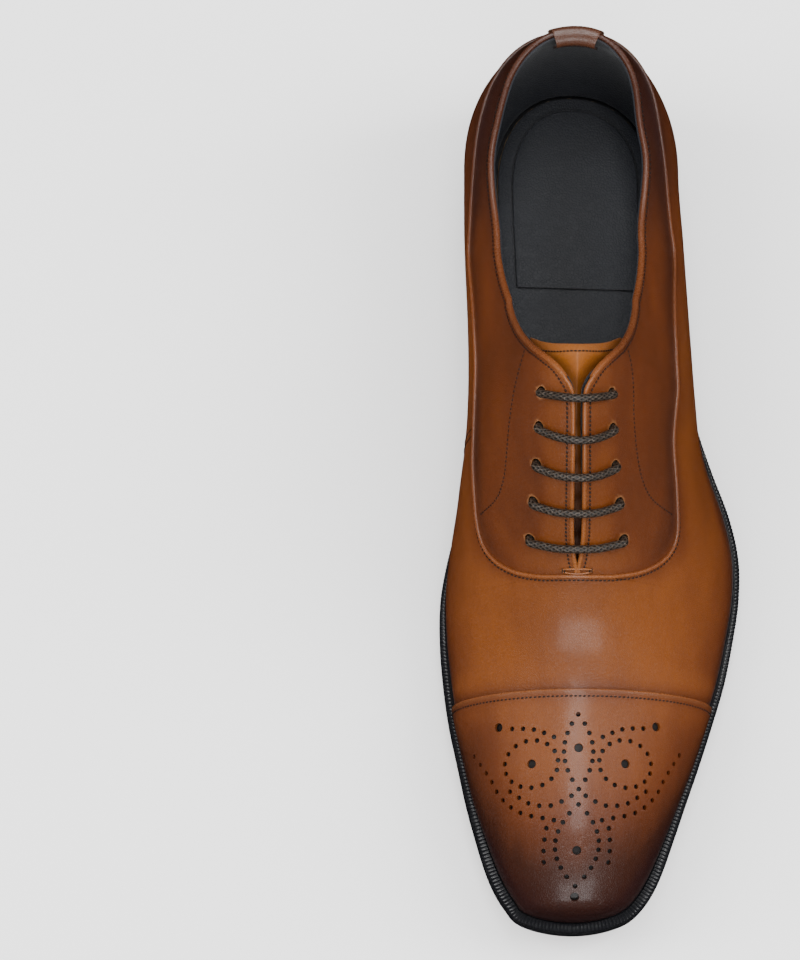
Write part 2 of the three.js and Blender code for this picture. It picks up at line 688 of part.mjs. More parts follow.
// How far the outside wall leans in over the inner sole at the joints of the foot.
const lean = curve([[0, 0.3], [95, 0.6], [125, 3.2], [150, 4.2], [170, 2.2], [190, 0.4], [HEEL_FAN, 0]]);
const WELT_TOP_DROP = 0.35;
const margin = curve([[TOE, 5], [20, 5.2], [50, 3.6], [90, 3], [120, 2.6], [150, 2.2], [180, 1.4],
  [205, 1.6], [230, 3.2], [HEEL_FAN, 3.8]]);
const soleTop = curve([[0, 20.1], [30, 15.6], [60, 12.7], [90, 10.1], [120, 8.5], [140, 9.3], [160, 12.3],
  [185, 17], [204, 19.9], [217, 21.4], [235, 22.7], [HEEL_FAN, 23.3]]);
const soleUnder = curve([[0, 15.6], [30, 10.6], [60, 7.6], [90, 4.6], [105, 3.4], [130, 3.4], [145, 5.2],
  [160, 8], [185, 12.8], [204, 15.7], [217, 17.2], [235, 18.4], [HEEL_FAN, 19.1]]);
const treadUnder = curve([[30, 7.6], [60, 4.2], [90, 0.9], [96, 0.2], [98, 0], [100, 0], [126, 0], [128, 0],
  [140, 1.6], [150, 3]]);
const weltTop = (l) => edgeZ(l) - WELT_TOP_DROP;
const bodyStations = [70, 84, 98, 112, 126, 140, 154, 168, 182, 195];
const LIFT_1 = 12.9;
const LIFT_2 = 7.7;
const TOP_PIECE = 7.4;

function makeBottom() {
  const allRound = [...toeStations(62), ...bodyStations, 207, 218, 230, 245, ...heelStations];
  const weltLine = [...toeStations(62), ...bodyStations, 208];
  const over = (l) => edgeZ(l) + 9;
  const below = (l) => edgeZ(l) - 12;
  const hollow = slab([...toeStations(62), ...bodyStations, 216], -6, over, below);
  const welt = slab(weltLine, margin, weltTop, (l) => soleTop(l) + GAP).subtract(hollow);
  place("welt", welt, "edge");
  const randLine = [208.4, 218, 230, 245, ...heelStations];
  const heelHollow = slab([200, 218, 230, 245, ...heelStations], -6, over, below);
  const rand = slab(randLine, margin, weltTop, (l) => soleTop(l) + GAP).subtract(heelHollow);
  place("heel_rand", rand, "edge");
  place("outsole", slab(allRound, margin, soleTop, soleUnder), "sole");
  const treadLine = [34, 42, 52, 62, 76, 90, 98, 112, 128, 138, 147];
  const tread = slab(treadLine, (s) => margin(s) - 9, (l) => soleUnder(l) - GAP, treadUnder, 4);
  place("forepart_tread", tread, "rubber");
  const fillerLine = [...toeStations(62), ...bodyStations, 204];
  place("forepart_filler", slab(fillerLine, -6.5, (l) => edgeZ(l) - GAP, (l) => soleTop(l) + GAP), "cork");
  const seatLine = [212, 218, 230, 245, ...heelStations];
  place("heel_filler", slab(seatLine, -6.5, (l) => edgeZ(l) - GAP, (l) => soleTop(l) + GAP), "cork");
  const insoleLine = allRound;
  const inset = (s, side) => LINING_BOTTOM - 0.6 - (side === OUT ? lean(s) : 0);
  place("insole_board", slab(insoleLine, inset, (l) => edgeZ(l) + 2.6, (l) => edgeZ(l) + 0.1), "board");
  const inside = (s, side) => inset(s, side) - 0.5;
  place("sock_lining", slab(insoleLine, inside, (l) => edgeZ(l) + 3.9, (l) => edgeZ(l) + 2.9), "lining");
  const padLine = [226, 236, 248, ...heelStations];
  const pad = slab(padLine, (s, side) => inside(s, side) - 5, (l) => edgeZ(l) + 5.4, (l) => edgeZ(l) + 4.2);
  place("heel_pad", pad, "tan");
}

function makeHeel() {
  const line = [218, 226, 236, 248, ...heelStations];
  const lift = (name, reach, top, under, finish) =>
    place(name, slab(line, (s) => margin(s) + reach, top, under), finish);
  lift("heel_lift_upper", 0, (l) => soleUnder(l) - GAP, () => LIFT_1, "edge");
  lift("heel_lift_lower", -0.2, () => LIFT_1 - GAP, () => LIFT_2, "edge");
  lift("top_piece", -0.3, () => TOP_PIECE, () => 0, "rubber");
}

makeToe();
makeVamp();
makeQuarters();
makeLining();
makeCollar();
makeHeelTab();
makeTongue();
makeEyelets();
makeLace();
makeBottom();
makeHeel();

export default shoe;
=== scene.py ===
"""A left leather oxford with a punched toe cap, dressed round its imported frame.

Every piece of the upper lies on one surface, the last. A place on it is (side, s, t): side +1 outside or -1
inside, s the way along the shoe from the toe in millimetres (round the heel after FAN), t from the sole edge 0 to
the ridge 1.
"""

import json
import logging
import math
from collections.abc import Callable, Sequence
from dataclasses import dataclass, field
from enum import Enum, IntEnum

import bpy
import numpy as np
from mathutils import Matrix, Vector


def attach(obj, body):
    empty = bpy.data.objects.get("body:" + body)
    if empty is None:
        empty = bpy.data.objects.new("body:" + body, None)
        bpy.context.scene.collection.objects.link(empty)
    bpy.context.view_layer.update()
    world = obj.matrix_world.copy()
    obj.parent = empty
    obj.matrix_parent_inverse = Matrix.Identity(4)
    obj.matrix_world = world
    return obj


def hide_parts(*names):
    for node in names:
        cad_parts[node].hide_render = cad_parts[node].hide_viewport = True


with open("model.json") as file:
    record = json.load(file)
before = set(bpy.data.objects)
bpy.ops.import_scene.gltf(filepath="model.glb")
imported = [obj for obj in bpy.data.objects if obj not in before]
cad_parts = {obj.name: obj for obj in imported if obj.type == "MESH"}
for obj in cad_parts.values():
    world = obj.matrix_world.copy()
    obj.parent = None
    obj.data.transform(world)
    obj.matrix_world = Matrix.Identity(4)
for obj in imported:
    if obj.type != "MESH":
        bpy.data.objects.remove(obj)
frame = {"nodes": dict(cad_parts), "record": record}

log = logging.getLogger("oxford")

Array = np.ndarray
MM = 0.001
LENGTH = 305.0
TOE = 5.8
TOE_X = -7.9
FAN = 262.0
END = 322.0
HEEL_BACK = 300.2
HEEL_MIDDLE_X = -6.5
HEEL_ROUNDNESS = 0.92
CAP_EDGE = 79.0
CAP_TOP = 1.35
THROAT = 113.4
WAIST_SEAM = 166.0
FACING_TOP = 172.4
COLLAR_START = 169.5
V_END = 203.0
LEATHER = 1.2
HOLE_ROWS = (125.0, 135.3, 145.7, 156.3, 166.6)
HOLE_ARCS = (17.6, 16.9, 16.1, 15.3, 14.6)
LACE_UNDER = -5.35


class Side(IntEnum):
    """The two sides of the foot."""

    OUT = 1
    IN = -1


class Body(Enum):
    """The rigid bodies of the frame that pieces ride on."""

    SHOE = "shoe"
    TONGUE = "tongue_flap"


class Curve:
    """A smooth curve through knots, level at its last one."""

    def __init__(self, knots: Sequence[tuple[float, float]], round_toe: bool = False) -> None:
        """Keeps the knots and their slopes.

        Args:
            knots: pairs of place and value, in rising order of place.
            round_toe: whether to run in the square root of the distance from the toe, which closes round there.
        """
        self.round_toe = round_toe
        self.x = self._warp(np.array([k[0] for k in knots], float))
        self.y = np.array([k[1] for k in knots], float)
        before = np.r_[self.x[:1], self.x[:-1]]
        after = np.r_[self.x[1:], self.x[-1:] + 1]
        rise = np.r_[self.y[1:], self.y[-1:]] - np.r_[self.y[:1], self.y[:-1]]
        self.slope = rise / (after - before)
        self.slope[-1] = 0.0

    def _warp(self, x: Array) -> Array:
        """Returns the places in the curve's own run."""
        return np.sqrt(np.maximum(x - TOE, 0)) if self.round_toe else x

    def __call__(self, place: Array | float) -> Array:
        """Returns the curve's value at each place."""
        x = np.clip(self._warp(np.asarray(place, float)), self.x[0], self.x[-1])
        i = np.clip(np.searchsorted(self.x, x, side="right") - 1, 0, len(self.x) - 2)
        w = self.x[i + 1] - self.x[i]
        u = (x - self.x[i]) / w
        h = u * u * (3 - 2 * u)
        bend = w * u * (1 - u) * ((1 - u) * self.slope[i] - u * self.slope[i + 1])
        return self.y[i] + (self.y[i + 1] - self.y[i]) * h + bend


EDGE_X = {
    Side.OUT: Curve(
        [(TOE, TOE_X), (8.9, 7), (12.4, 11.3), (19.4, 16), (33.4, 22.4), (47.5, 28.2), (61.6, 33.6), (75.8, 38.5),
         (90, 43), (104, 46.2), (118.7, 48.8), (133, 49.2), (147, 46.5), (163, 41), (183, 35), (204, 31), (237, 28),
         (FAN, 26.8)], round_toe=True),
    Side.IN: Curve(
        [(TOE, TOE_X), (8.9, -23), (12.4, -26), (19.4, -30), (33.4, -35.4), (47.5, -39.9), (61.6, -43.2),
         (75.8, -46.2), (90, -48.2), (104, -49.4), (118.7, -49.4), (133, -47), (150, -42.5), (166, -38), (183, -35),
         (204, -34), (237, -35.5), (FAN, -36.3)], round_toe=True),
}
EDGE_Z = Curve(
    [(0, 24), (30, 19.5), (60, 16.6), (90, 14), (120, 12.4), (140, 13), (160, 15.5), (185, 19.8), (210, 23.3),
     (235, 25.6), (FAN, 27.2)])
RIDGE_Z = Curve(
    [(TOE, float(EDGE_Z(TOE))), (8.6, 34.8), (13.7, 38.2), (24, 42), (34, 44.6), (49, 46.3), (69.4, 47.9),
     (79.7, 49.6), (90, 52.8), (100.3, 58.7), (110.6, 67.2), (120.9, 77.2), (136.4, 93.2), (146.7, 102.3),
     (157, 109.6), (167.3, 115), (FACING_TOP, 116.5), (180, 117), (190, 112), (204, 105), (220, 100), (237, 98),
     (FAN, 106)], round_toe=True)
RIDGE_X = Curve([(TOE, TOE_X), (50, -6.2), (THROAT, -7), (180, -7.8), (204, -8.5), (FAN, -10)])
BULGE = {
    Side.OUT: Curve([(TOE, 0), (60, 0.04), (THROAT, 0), (142, -0.12), (163, -0.1), (183, 0.2), (204, 0.37),
                     (237, 0.46), (FAN, 0.45)]),
    Side.IN: Curve([(TOE, 0), (60, 0.06), (THROAT, 0.12), (142, 0.3), (163, 0.57), (183, 0.85), (204, 0.95),
                    (237, 0.96), (FAN, 0.9)]),
}
LOW_PULL = {
    Side.OUT: Curve([(TOE, 0.55), (60, 0.52), (THROAT, 0.42), (142, 0.37), (163, 0.33), (183, 0.22), (204, 0.26),
                     (237, 0.38), (FAN, 0.46)]),
    Side.IN: Curve([(TOE, 0.55), (60, 0.52), (THROAT, 0.36), (142, 0.35), (163, 0.31), (183, 0.31), (204, 0.4),
                    (237, 0.48), (FAN, 0.45)]),
}
TOP_PULL = {
    Side.OUT: Curve([(TOE, 0.6), (60, 0.6), (THROAT, 0.32), (142, 0.2), (163, 0.26), (183, 0.4), (204, 0.48),
                     (237, 0.4), (FAN, 0.3)]),
    Side.IN: Curve([(TOE, 0.6), (60, 0.6), (THROAT, 0.48), (142, 0.5), (163, 0.6), (183, 0.58), (204, 0.7),
                    (237, 0.52), (FAN, 0.45)]),
}
BACK = {"edge_z": 28.0, "height": 115.0, "bulge": 0.486, "low": 0.317, "top": 0.53}
TOP_LINE = Curve(
    [(166, 121), (172, 117.5), (175.5, 115.4), (178.5, 112), (183, 105), (192, 97.7), (202, 91), (212, 85.5),
     (222, 82), (231, 80.6), (238, 80), (246, 80.4), (257, 82.3), (269, 86.5), (282, 92), (296.5, 98.5)])
SEAM_LINE = Curve(
    [(THROAT, 69.7), (114, 67), (116.8, 62.6), (122.6, 58.6), (129.5, 57.3), (141.5, 59), (162, 62), (183, 64.8),
     (193, 65.5), (203, 65.3), (213.7, 63.7), (229, 61.2), (237, 63.3), (258, 70.4), (282, 77), (300, 80.5)])
MARGIN = Curve([(TOE, 5), (20, 5.2), (50, 3.6), (90, 3), (120, 2.6), (150, 2.2), (180, 1.4), (205, 1.6), (230, 3.2),
                (FAN, 3.8)])
SOLE_TOP = Curve([(0, 20.1), (30, 15.6), (60, 12.7), (90, 10.1), (120, 8.5), (140, 9.3), (160, 12.3), (185, 17),
                  (204, 19.9), (217, 21.4), (235, 22.7), (FAN, 23.3)])
SOLE_UNDER = Curve([(0, 15.6), (30, 10.6), (60, 7.6), (90, 4.6), (105, 3.4), (130, 3.4), (145, 5.2), (160, 8),
                    (185, 12.8), (204, 15.7), (217, 17.2), (235, 18.4), (FAN, 19.1)])
TREAD_UNDER = Curve([(30, 7.6), (60, 4.2), (90, 0.9), (96, 0.2), (98, 0), (100, 0), (126, 0), (128, 0), (140, 1.6),
                     (150, 3)])


@dataclass(frozen=True)
class Last:
    """The form the shoe is made on."""

    def section(self, side: Side, s: Array) -> dict[str, Array]:
        """Returns the measures of the cross sections at s.

        Args:
            side: which side of the foot.
            s: ways along the shoe.
        """
        l = np.minimum(s, FAN)
        angle = np.clip(s - FAN, 0, END - FAN) / (END - FAN) * (math.pi / 2)
        back = np.sin(angle) ** 2
        measures = {
            "edge_z": EDGE_Z(l),
            "height": RIDGE_Z(l) - EDGE_Z(l),
            "bulge": BULGE[side](l),
            "low": LOW_PULL[side](l),
            "top": TOP_PULL[side](l),
        }
        for key, value in BACK.items():
            measures[key] = measures[key] * (1 - back) + value * back
        c = np.maximum(np.cos(angle), 0) ** HEEL_ROUNDNESS
        b = np.sin(angle) ** HEEL_ROUNDNESS
        measures["ridge_x"] = RIDGE_X(l)
        measures["ridge_l"] = l
        measures["foot_x"] = HEEL_MIDDLE_X + (EDGE_X[side](l) - HEEL_MIDDLE_X) * c
        measures["foot_l"] = l + (HEEL_BACK - FAN) * b
        return measures

    def place(self, side: Side, s: Array, t: Array) -> Array:
        """Returns places on the last as [..., (x, way from the toe, z)]."""
        s, t = np.broadcast_arrays(np.asarray(s, float), np.asarray(t, float))
        m = self.section(side, s)
        w = (1 - t) ** 3 + 3 * (1 - t) ** 2 * t * (1 + m["bulge"]) + 3 * (1 - t) * t * t * m["top"]
        up = 3 * (1 - t) ** 2 * t * m["low"] + 3 * (1 - t) * t * t + t**3
        x = m["ridge_x"] + (m["foot_x"] - m["ridge_x"]) * w
        l = m["ridge_l"] + (m["foot_l"] - m["ridge_l"]) * w
        return np.stack([x, l, m["edge_z"] + m["height"] * up], -1)

    def normal(self, side: Side, s: Array, t: Array) -> Array:
        """Returns the outward directions of the last."""
        s, t = np.broadcast_arrays(np.asarray(s, float), np.clip(np.asarray(t, float), 0, 1))
        d = 1e-3
        along = self.place(side, np.minimum(s + d, END), t) - self.place(side, np.maximum(s - d, TOE), t)
        up = self.place(side, s, np.minimum(t + d, 1)) - self.place(side, s, np.maximum(t - d, 0))
        up[t > 1 - 1e-9] = (-int(side), 0, 0)
        along[s > END - 1e-6] = (-int(side), 0, 0)
        n = np.cross(along, up) * int(side)
        n[s <= TOE + 1e-6] = (0, -1, 0)
        return n / np.maximum(np.linalg.norm(n, axis=-1, keepdims=True), 1e-12)

    def lifted(self, side: Side, s: Array, t: Array, lift: Array | float) -> Array:
        """Returns places lifted off the last, in metres in the shoe's frame.

        Args:
            side: which side of the foot.
            s: ways along the shoe.
            t: ways up the section.
            lift: height off the last in millimetres.
        """
        p = self.place(side, s, t) + self.normal(side, s, t) * np.asarray(lift, float)[..., None]
        return (p - (0, LENGTH / 2, 0)) * MM

    def solve(self, low: float, high: float, s: Array, above: Callable[[Array], Array]) -> Array:
        """Returns, for each s, the t from which a test holds, by halving."""
        a = np.full(np.shape(s), float(low))
        b = np.full(np.shape(s), float(high))
        for _ in range(36):
            m = (a + b) / 2
            hit = above(m)
            b = np.where(hit, m, b)
            a = np.where(hit, a, m)
        return (a + b) / 2

    def at_line(self, side: Side, s: Array, line: Callable[[Array], Array], lift: float = 0.0) -> Array:
        """Returns t where the last crosses a line of heights along the shoe."""
        s = np.asarray(s, float)

        def above(t: Array) -> Array:
            """Whether the place is over the line."""
            p = self.place(side, s, t)
            return p[..., 2] > line(p[..., 1]) + lift

        return self.solve(0, 1, s, above)

    def at_half(self, side: Side, s: Array, half: Array | float) -> Array:
        """Returns t at a straight distance from the ridge."""
        s = np.asarray(s, float)
        middle = RIDGE_X(np.minimum(s, FAN))
        return self.solve(0.05, 1, s, lambda t: np.abs(self.place(side, s, t)[..., 0] - middle) < half)

    def at_arc(self, side: Side, s: Array, arc: Array | float) -> Array:
        """Returns t at a distance from the ridge along the surface."""
        s, arc = np.broadcast_arrays(np.asarray(s, float), np.asarray(arc, float))
        flat_s, flat_arc = s.ravel(), arc.ravel()
        t = np.linspace(1, 0, 301)
        p = self.place(side, flat_s[:, None], t[None, :])
        run = np.cumsum(np.linalg.norm(np.diff(p, axis=1), axis=-1), axis=1)
        run = np.c_[np.zeros(len(flat_s)), run]
        return np.array([np.interp(a, r, t) for a, r in zip(flat_arc, run)]).reshape(s.shape)

    def plan(self, side: Side, s: Array, out: Array | float) -> Array:
        """Returns places of the sole's plan line, moved outwards, as [..., (x, way from the toe)]."""
        s = np.asarray(s, float)
        m = self.section(side, s)
        p = np.stack([m["foot_x"], m["foot_l"]], -1)
        a = self.section(side, np.minimum(s + 0.05, END))
        b = self.section(side, np.maximum(s - 0.05, TOE))
        d = np.stack([a["foot_x"] - b["foot_x"], a["foot_l"] - b["foot_l"]], -1)
        d /= np.maximum(np.linalg.norm(d, axis=-1, keepdims=True), 1e-12)
        n = np.stack([d[..., 1], -d[..., 0]], -1) * int(side)
        n[s <= TOE + 1e-6] = (0, -1)
        n[s >= END - 1e-6] = (0, 1)
        return p + n * np.asarray(out, float)[..., None]


LAST = Last()


slit_half = Curve([(THROAT, 0.05), (115.6, 0.1), (119.5, 1.0), (126, 1.65), (162, 1.65), (166, 2.3), (170, 4.2),
                   (174, 6.8), (178, 10.2), (182, 13.2), (186, 15.6), (190, 17.5), (194, 18.9), (198, 19.9),
                   (V_END, 20.6)])


def bound(s: Array) -> Array:
    """Returns the share of the binding's width kept free: none beside the slit, all past the last hole."""
    return np.clip((s - 166) / 3, 0, 1)


def top_edge(side: Side, s: Array, below: float) -> Array:
    """Returns t of the quarter's upper edge: the slit in front, the top line behind.

    Args:
        side: which side of the foot.
        s: ways along the shoe.
        below: how far under the top line, in millimetres.
    """
    s = np.asarray(s, float)
    free = below * (0.45 + 0.55 * bound(s))
    slit = np.where(s < V_END, LAST.at_half(side, s, slit_half(s) + free), 1.0)
    return np.minimum(slit, LAST.at_line(side, s, TOP_LINE, -below))


def seam_edge(side: Side, s: Array, lift: float) -> Array:
    """Returns t of the closed seam between vamp and quarter, a little above or below it."""
    s = np.asarray(s, float)
    shift = 0.3 if lift > 0 else 0.0
    low = LAST.at_line(side, s, lambda l: SEAM_LINE(l - shift), lift)
    return np.where(s < THROAT + 0.6, LAST.at_arc(side, s, 2.6), low) if lift > 0 else low


def footing(side: Side, s: Array, under: float) -> Array:
    """Returns the lowest t at which a layer's underside still stands above the sole edge."""
    s = np.asarray(s, float)
    edge = LAST.section(side, s)["edge_z"] * MM
    return LAST.solve(-0.001, 0.3, s, lambda t: LAST.lifted(side, s, t, under)[..., 2] > edge - 0.00005)


# ---------------------------------------------------------------- shader maths


class Wire:
    """One shader socket, with sums written as Python."""

    def __init__(self, recipe: "Recipe", socket: bpy.types.NodeSocket) -> None:
        """Keeps the recipe and the socket."""
        self.recipe = recipe
        self.socket = socket

    def _math(self, operation: str, *values: "Wire | float") -> "Wire":
        """Returns a Math node's result."""
        return self.recipe.node("ShaderNodeMath", {"operation": operation}, dict(enumerate(values)))

    def __add__(self, other: "Wire | float") -> "Wire":
        """Sum."""
        return self._math("ADD", self, other)

    __radd__ = __add__

    def __sub__(self, other: "Wire | float") -> "Wire":
        """Difference."""
        return self._math("SUBTRACT", self, other)

    def __rsub__(self, other: float) -> "Wire":
        """Difference from a number."""
        return self._math("SUBTRACT", other, self)

    def __mul__(self, other: "Wire | float") -> "Wire":
        """Product."""
        return self._math("MULTIPLY", self, other)

    __rmul__ = __mul__

    def __truediv__(self, other: "Wire | float") -> "Wire":
        """Quotient."""
        return self._math("DIVIDE", self, other)

    def __pow__(self, other: float) -> "Wire":
        """Power."""
        return self._math("POWER", self, other)

    def sine(self) -> "Wire":
        """Sine."""
        return self._math("SINE", self)

    def most(self, other: "Wire | float") -> "Wire":
        """The greater of two."""
        return self._math("MAXIMUM", self, other)

    def least(self, other: "Wire | float") -> "Wire":
        """The lesser of two."""
        return self._math("MINIMUM", self, other)

    def step(self, low: float, high: float) -> "Wire":
        """A smooth step from 0 at low to 1 at high."""
        settings = {"interpolation_type": "SMOOTHSTEP"}
        return self.recipe.node("ShaderNodeMapRange", settings,
                                {"Value": self, "From Min": low, "From Max": high})


Colour = tuple[float, float, float]


class Recipe:
    """A material under construction."""

    def __init__(self, name: str) -> None:
        """Starts a material with its shader and nothing plugged into it."""
        self.material = bpy.data.materials.new(name)
        self.material.use_nodes = True
        self.tree = self.material.node_tree
        self.shader = next(n for n in self.tree.nodes if n.type == "BSDF_PRINCIPLED")

    def node(self, kind: str, settings: dict | None = None, values: dict | None = None, out: int | str = 0) -> Wire:
        """Adds a node.

        Args:
            kind: the node's type.
            settings: its settings; "stops" gives a ramp's places and colours.
            values: numbers or wires for its sockets, by name or number.
            out: the output wanted.

        Returns:
            The wire of that output.
        """
        made = self.tree.nodes.new(kind)
        for key, value in (settings or {}).items():
            if key == "stops":
                for i, (place, colour) in enumerate(value):
                    stops = made.color_ramp.elements
                    stop = stops[i] if i < len(stops) else stops.new(place)
                    stop.position = place
                    stop.color = (*colour, 1)
            else:
                setattr(made, key, value)
        for key, value in (values or {}).items():
            self.plug(made.inputs[key], value)
        return Wire(self, made.outputs[out])

    def plug(self, socket: bpy.types.NodeSocket, value: "Wire | float | Colour") -> None:
        """Links a wire to a socket, or sets its number or colour."""
        if isinstance(value, Wire):
            self.tree.links.new(value.socket, socket)
        elif isinstance(value, tuple) and len(value) == 3 and socket.type == "RGBA":
            socket.default_value = (*value, 1)
        else:
            socket.default_value = value

    def coords(self) -> Wire:
        """Returns object coordinates."""
        return self.node("ShaderNodeTexCoord", out="Object")

    def attribute(self, name: str) -> Wire:
        """Returns a number painted on the mesh."""
        return self.node("ShaderNodeAttribute", {"attribute_name": name}, out="Fac")

    def noise(self, scale: float, detail: float = 3.0, stretch: Colour = (1, 1, 1), rough: float = 0.5) -> Wire:
        """Returns noise over object coordinates, stretched along the axes."""
        mapped = self.node("ShaderNodeMapping", None, {"Vector": self.coords(), "Scale": stretch})
        return self.node("ShaderNodeTexNoise", None,
                         {"Vector": mapped, "Scale": scale, "Detail": detail, "Roughness": rough})

    def cells(self, scale: float, feature: str = "DISTANCE_TO_EDGE") -> Wire:
        """Returns the distance pattern of skin cells."""
        return self.node("ShaderNodeTexVoronoi", {"feature": feature},
                         {"Vector": self.coords(), "Scale": scale})

    def ramp(self, value: Wire, stops: Sequence[tuple[float, Colour]]) -> Wire:
        """Returns colours laid over a value."""
        return self.node("ShaderNodeValToRGB", {"stops": stops}, {"Fac": value}, out="Color")

    def blend(self, share: Wire | float, a: Wire | Colour, b: Wire | Colour, kind: str = "MIX") -> Wire:
        """Returns two colours mixed by a share."""
        settings = {"data_type": "RGBA", "blend_type": kind}
        return self.node("ShaderNodeMix", settings, {0: share, 6: a, 7: b}, out=2)

    def bump(self, height: Wire, depth: float, strength: float = 1.0, under: Wire | None = None) -> Wire:
        """Returns a normal raised by a height, over another normal if one is given."""
        values: dict = {"Height": height, "Distance": depth, "Strength": strength}
        if under is not None:
            values["Normal"] = under
        return self.node("ShaderNodeBump", None, values, out="Normal")

    def finish(self, **sockets: "Wire | float | Colour") -> bpy.types.Material:
        """Sets the shader's sockets, their names written with underscores, and returns the material."""
        for key, value in sockets.items():
            self.plug(self.shader.inputs[key.replace("_", " ")], value)
        return self.material


@dataclass(frozen=True)
class Calf:
    """Hand-burnished calf: tan in the open, darker where more cream was worked in."""

    name: str
    light: Colour = (0.150, 0.041, 0.0050)
    middle: Colour = (0.073, 0.0175, 0.0035)
    dark: Colour = (0.027, 0.0075, 0.0035)
    deepest: Colour = (0.0170, 0.0052, 0.0046)
    shade: float = 0.0
    gloss: float = 0.33
    coat: float = 0.16
    shine: float = 0.42
    grain: float = 1.0

    def make(self) -> bpy.types.Material:
        """Returns the material."""
        r = Recipe(self.name)
        cloud = r.noise(34, 4, (1, 0.55, 1), 0.55)
        streak = r.noise(260, 3, (1, 0.16, 0.6), 0.6)
        fine = r.noise(1500, 2)
        burnish = r.attribute("burnish") + self.shade + (cloud - 0.5) * 0.42 + (streak - 0.5) * 0.14
        ramp = r.ramp(burnish, [(0.0, self.light), (0.42, self.middle), (0.74, self.dark),
                                (1.0, self.deepest)])
        worn = r.blend((1 - fine.step(0.3, 0.62)) * 0.16, ramp, self.dark)
        # The rim attribute mixes in a pale tan: painted highlight along the cap's fold and round the curled lacing-hole
        # edges, the paler raw top edge of the tongue, and paler heel tab edges.
        rim = r.attribute("rim")
        colour = r.blend(rim * 0.55, worn, (0.25, 0.105, 0.035))
        skin = r.cells(1500)
        pores = r.cells(640, "F1")
        height = skin.step(0.0, 0.16) * 0.6 + fine * 0.45 + pores.step(0.0, 0.22) * 0.35
        normal = r.bump(height, 0.00009 * self.grain, 0.75)
        wave = r.bump(r.noise(75, 2), 0.00035, 0.5, normal)
        rough = self.gloss + (cloud - 0.5) * 0.12 + (fine - 0.5) * 0.10 + rim * 0.06
        return r.finish(Base_Color=colour, Roughness=rough, Normal=wave, Coat_Weight=self.coat,
                        Coat_Roughness=0.17, Specular_IOR_Level=self.shine)


@dataclass(frozen=True)
class Waxed:
    """Dyed and ironed edge leather: near black, satin, with the faint lines of the layers."""

    name: str
    colour: Colour = (0.0062, 0.0064, 0.0078)
    gloss: float = 0.33
    lines: float = 900.0

    def make(self) -> bpy.types.Material:
        """Returns the material."""
        r = Recipe(self.name)
        layers = r.noise(self.lines, 2, (0.05, 0.05, 1))
        wear = r.noise(140, 4)
        scuff = r.noise(900, 2)
        tint = r.blend(wear.step(0.58, 0.78) * 0.5, self.colour, (0.018, 0.018, 0.020))
        colour = r.blend(layers.step(0.55, 0.75) * 0.3, tint, (0.0135, 0.0125, 0.013))
        normal = r.bump(layers * 0.6 + scuff * 0.4, 0.00012, 0.5)
        return r.finish(Base_Color=colour, Roughness=self.gloss + (wear - 0.5) * 0.16 + (scuff - 0.5) * 0.1,
                        Normal=normal, Coat_Weight=0.25, Coat_Roughness=0.2)


@dataclass(frozen=True)
class SoleLeather:
    """Stained and polished sole leather."""

    name: str

    def make(self) -> bpy.types.Material:
        """Returns the material."""
        r = Recipe(self.name)
        cloud = r.noise(26, 4)
        fibre = r.noise(700, 4, (1, 0.3, 1))
        scratch = r.noise(320, 2, (1, 0.04, 1))
        value = r.attribute("burnish") + (cloud - 0.5) * 0.5 + (fibre - 0.5) * 0.18
        base = r.ramp(value, [(0.0, (0.13, 0.034, 0.011)), (0.5, (0.075, 0.018, 0.007)),
                              (1.0, (0.010, 0.006, 0.006))])
        colour = r.blend(scratch.step(0.66, 0.72) * 0.25, base, (0.2, 0.075, 0.03))
        normal = r.bump(fibre * 0.7 + scratch * 0.3, 0.00009, 0.5)
        return r.finish(Base_Color=colour, Roughness=0.24 + (cloud - 0.5) * 0.16 + (fibre - 0.5) * 0.1,
                        Normal=normal, Coat_Weight=0.4, Coat_Roughness=0.14)


@dataclass(frozen=True)
class Rubber:
    """Moulded black rubber with a fine stipple."""

    name: str

    def make(self) -> bpy.types.Material:
        """Returns the material."""
        r = Recipe(self.name)
        stipple = r.cells(1150, "F1")
        dust = r.noise(60, 4)
        colour = r.blend(dust.step(0.5, 0.8) * 0.4, (0.006, 0.006, 0.0065), (0.018, 0.018, 0.018))
        return r.finish(Base_Color=colour, Roughness=0.58 + (dust - 0.5) * 0.2,
                        Normal=r.bump(1 - stipple, 0.00022, 0.7))


@dataclass(frozen=True)
class Lining:
    """Soft dark goat lining, matt, with a pebbled grain."""

    name: str
    colour: Colour = (0.0065, 0.0080, 0.0125)
    lighter: Colour = (0.014, 0.016, 0.022)

    def make(self) -> bpy.types.Material:
        """Returns the material."""
        r = Recipe(self.name)
        cloud = r.noise(55, 4)
        pebble = r.cells(900)
        fine = r.noise(1900, 2)
        colour = r.blend(cloud.step(0.35, 0.8) * 0.6, self.colour, self.lighter)
        normal = r.bump(pebble.step(0.0, 0.2) * 0.8 + fine * 0.4, 0.00012, 0.6)
        return r.finish(Base_Color=colour, Roughness=0.56 + (cloud - 0.5) * 0.14 + (fine - 0.5) * 0.1, Normal=normal,
                        Sheen_Weight=0.15, Sheen_Roughness=0.5)


@dataclass(frozen=True)
class Thread:
    """Waxed sewing thread, two strands twisted."""

    name: str
    colour: Colour = (0.0060, 0.0034, 0.0028)

    def make(self) -> bpy.types.Material:
        """Returns the material."""
        r = Recipe(self.name)
        fluff = r.noise(2600, 2)
        colour = r.blend(fluff.step(0.45, 0.8) * 0.5, self.colour, (0.022, 0.011, 0.0065))
        return r.finish(Base_Color=colour, Roughness=0.52 + (fluff - 0.5) * 0.2, Normal=r.bump(fluff, 0.00008, 0.6))


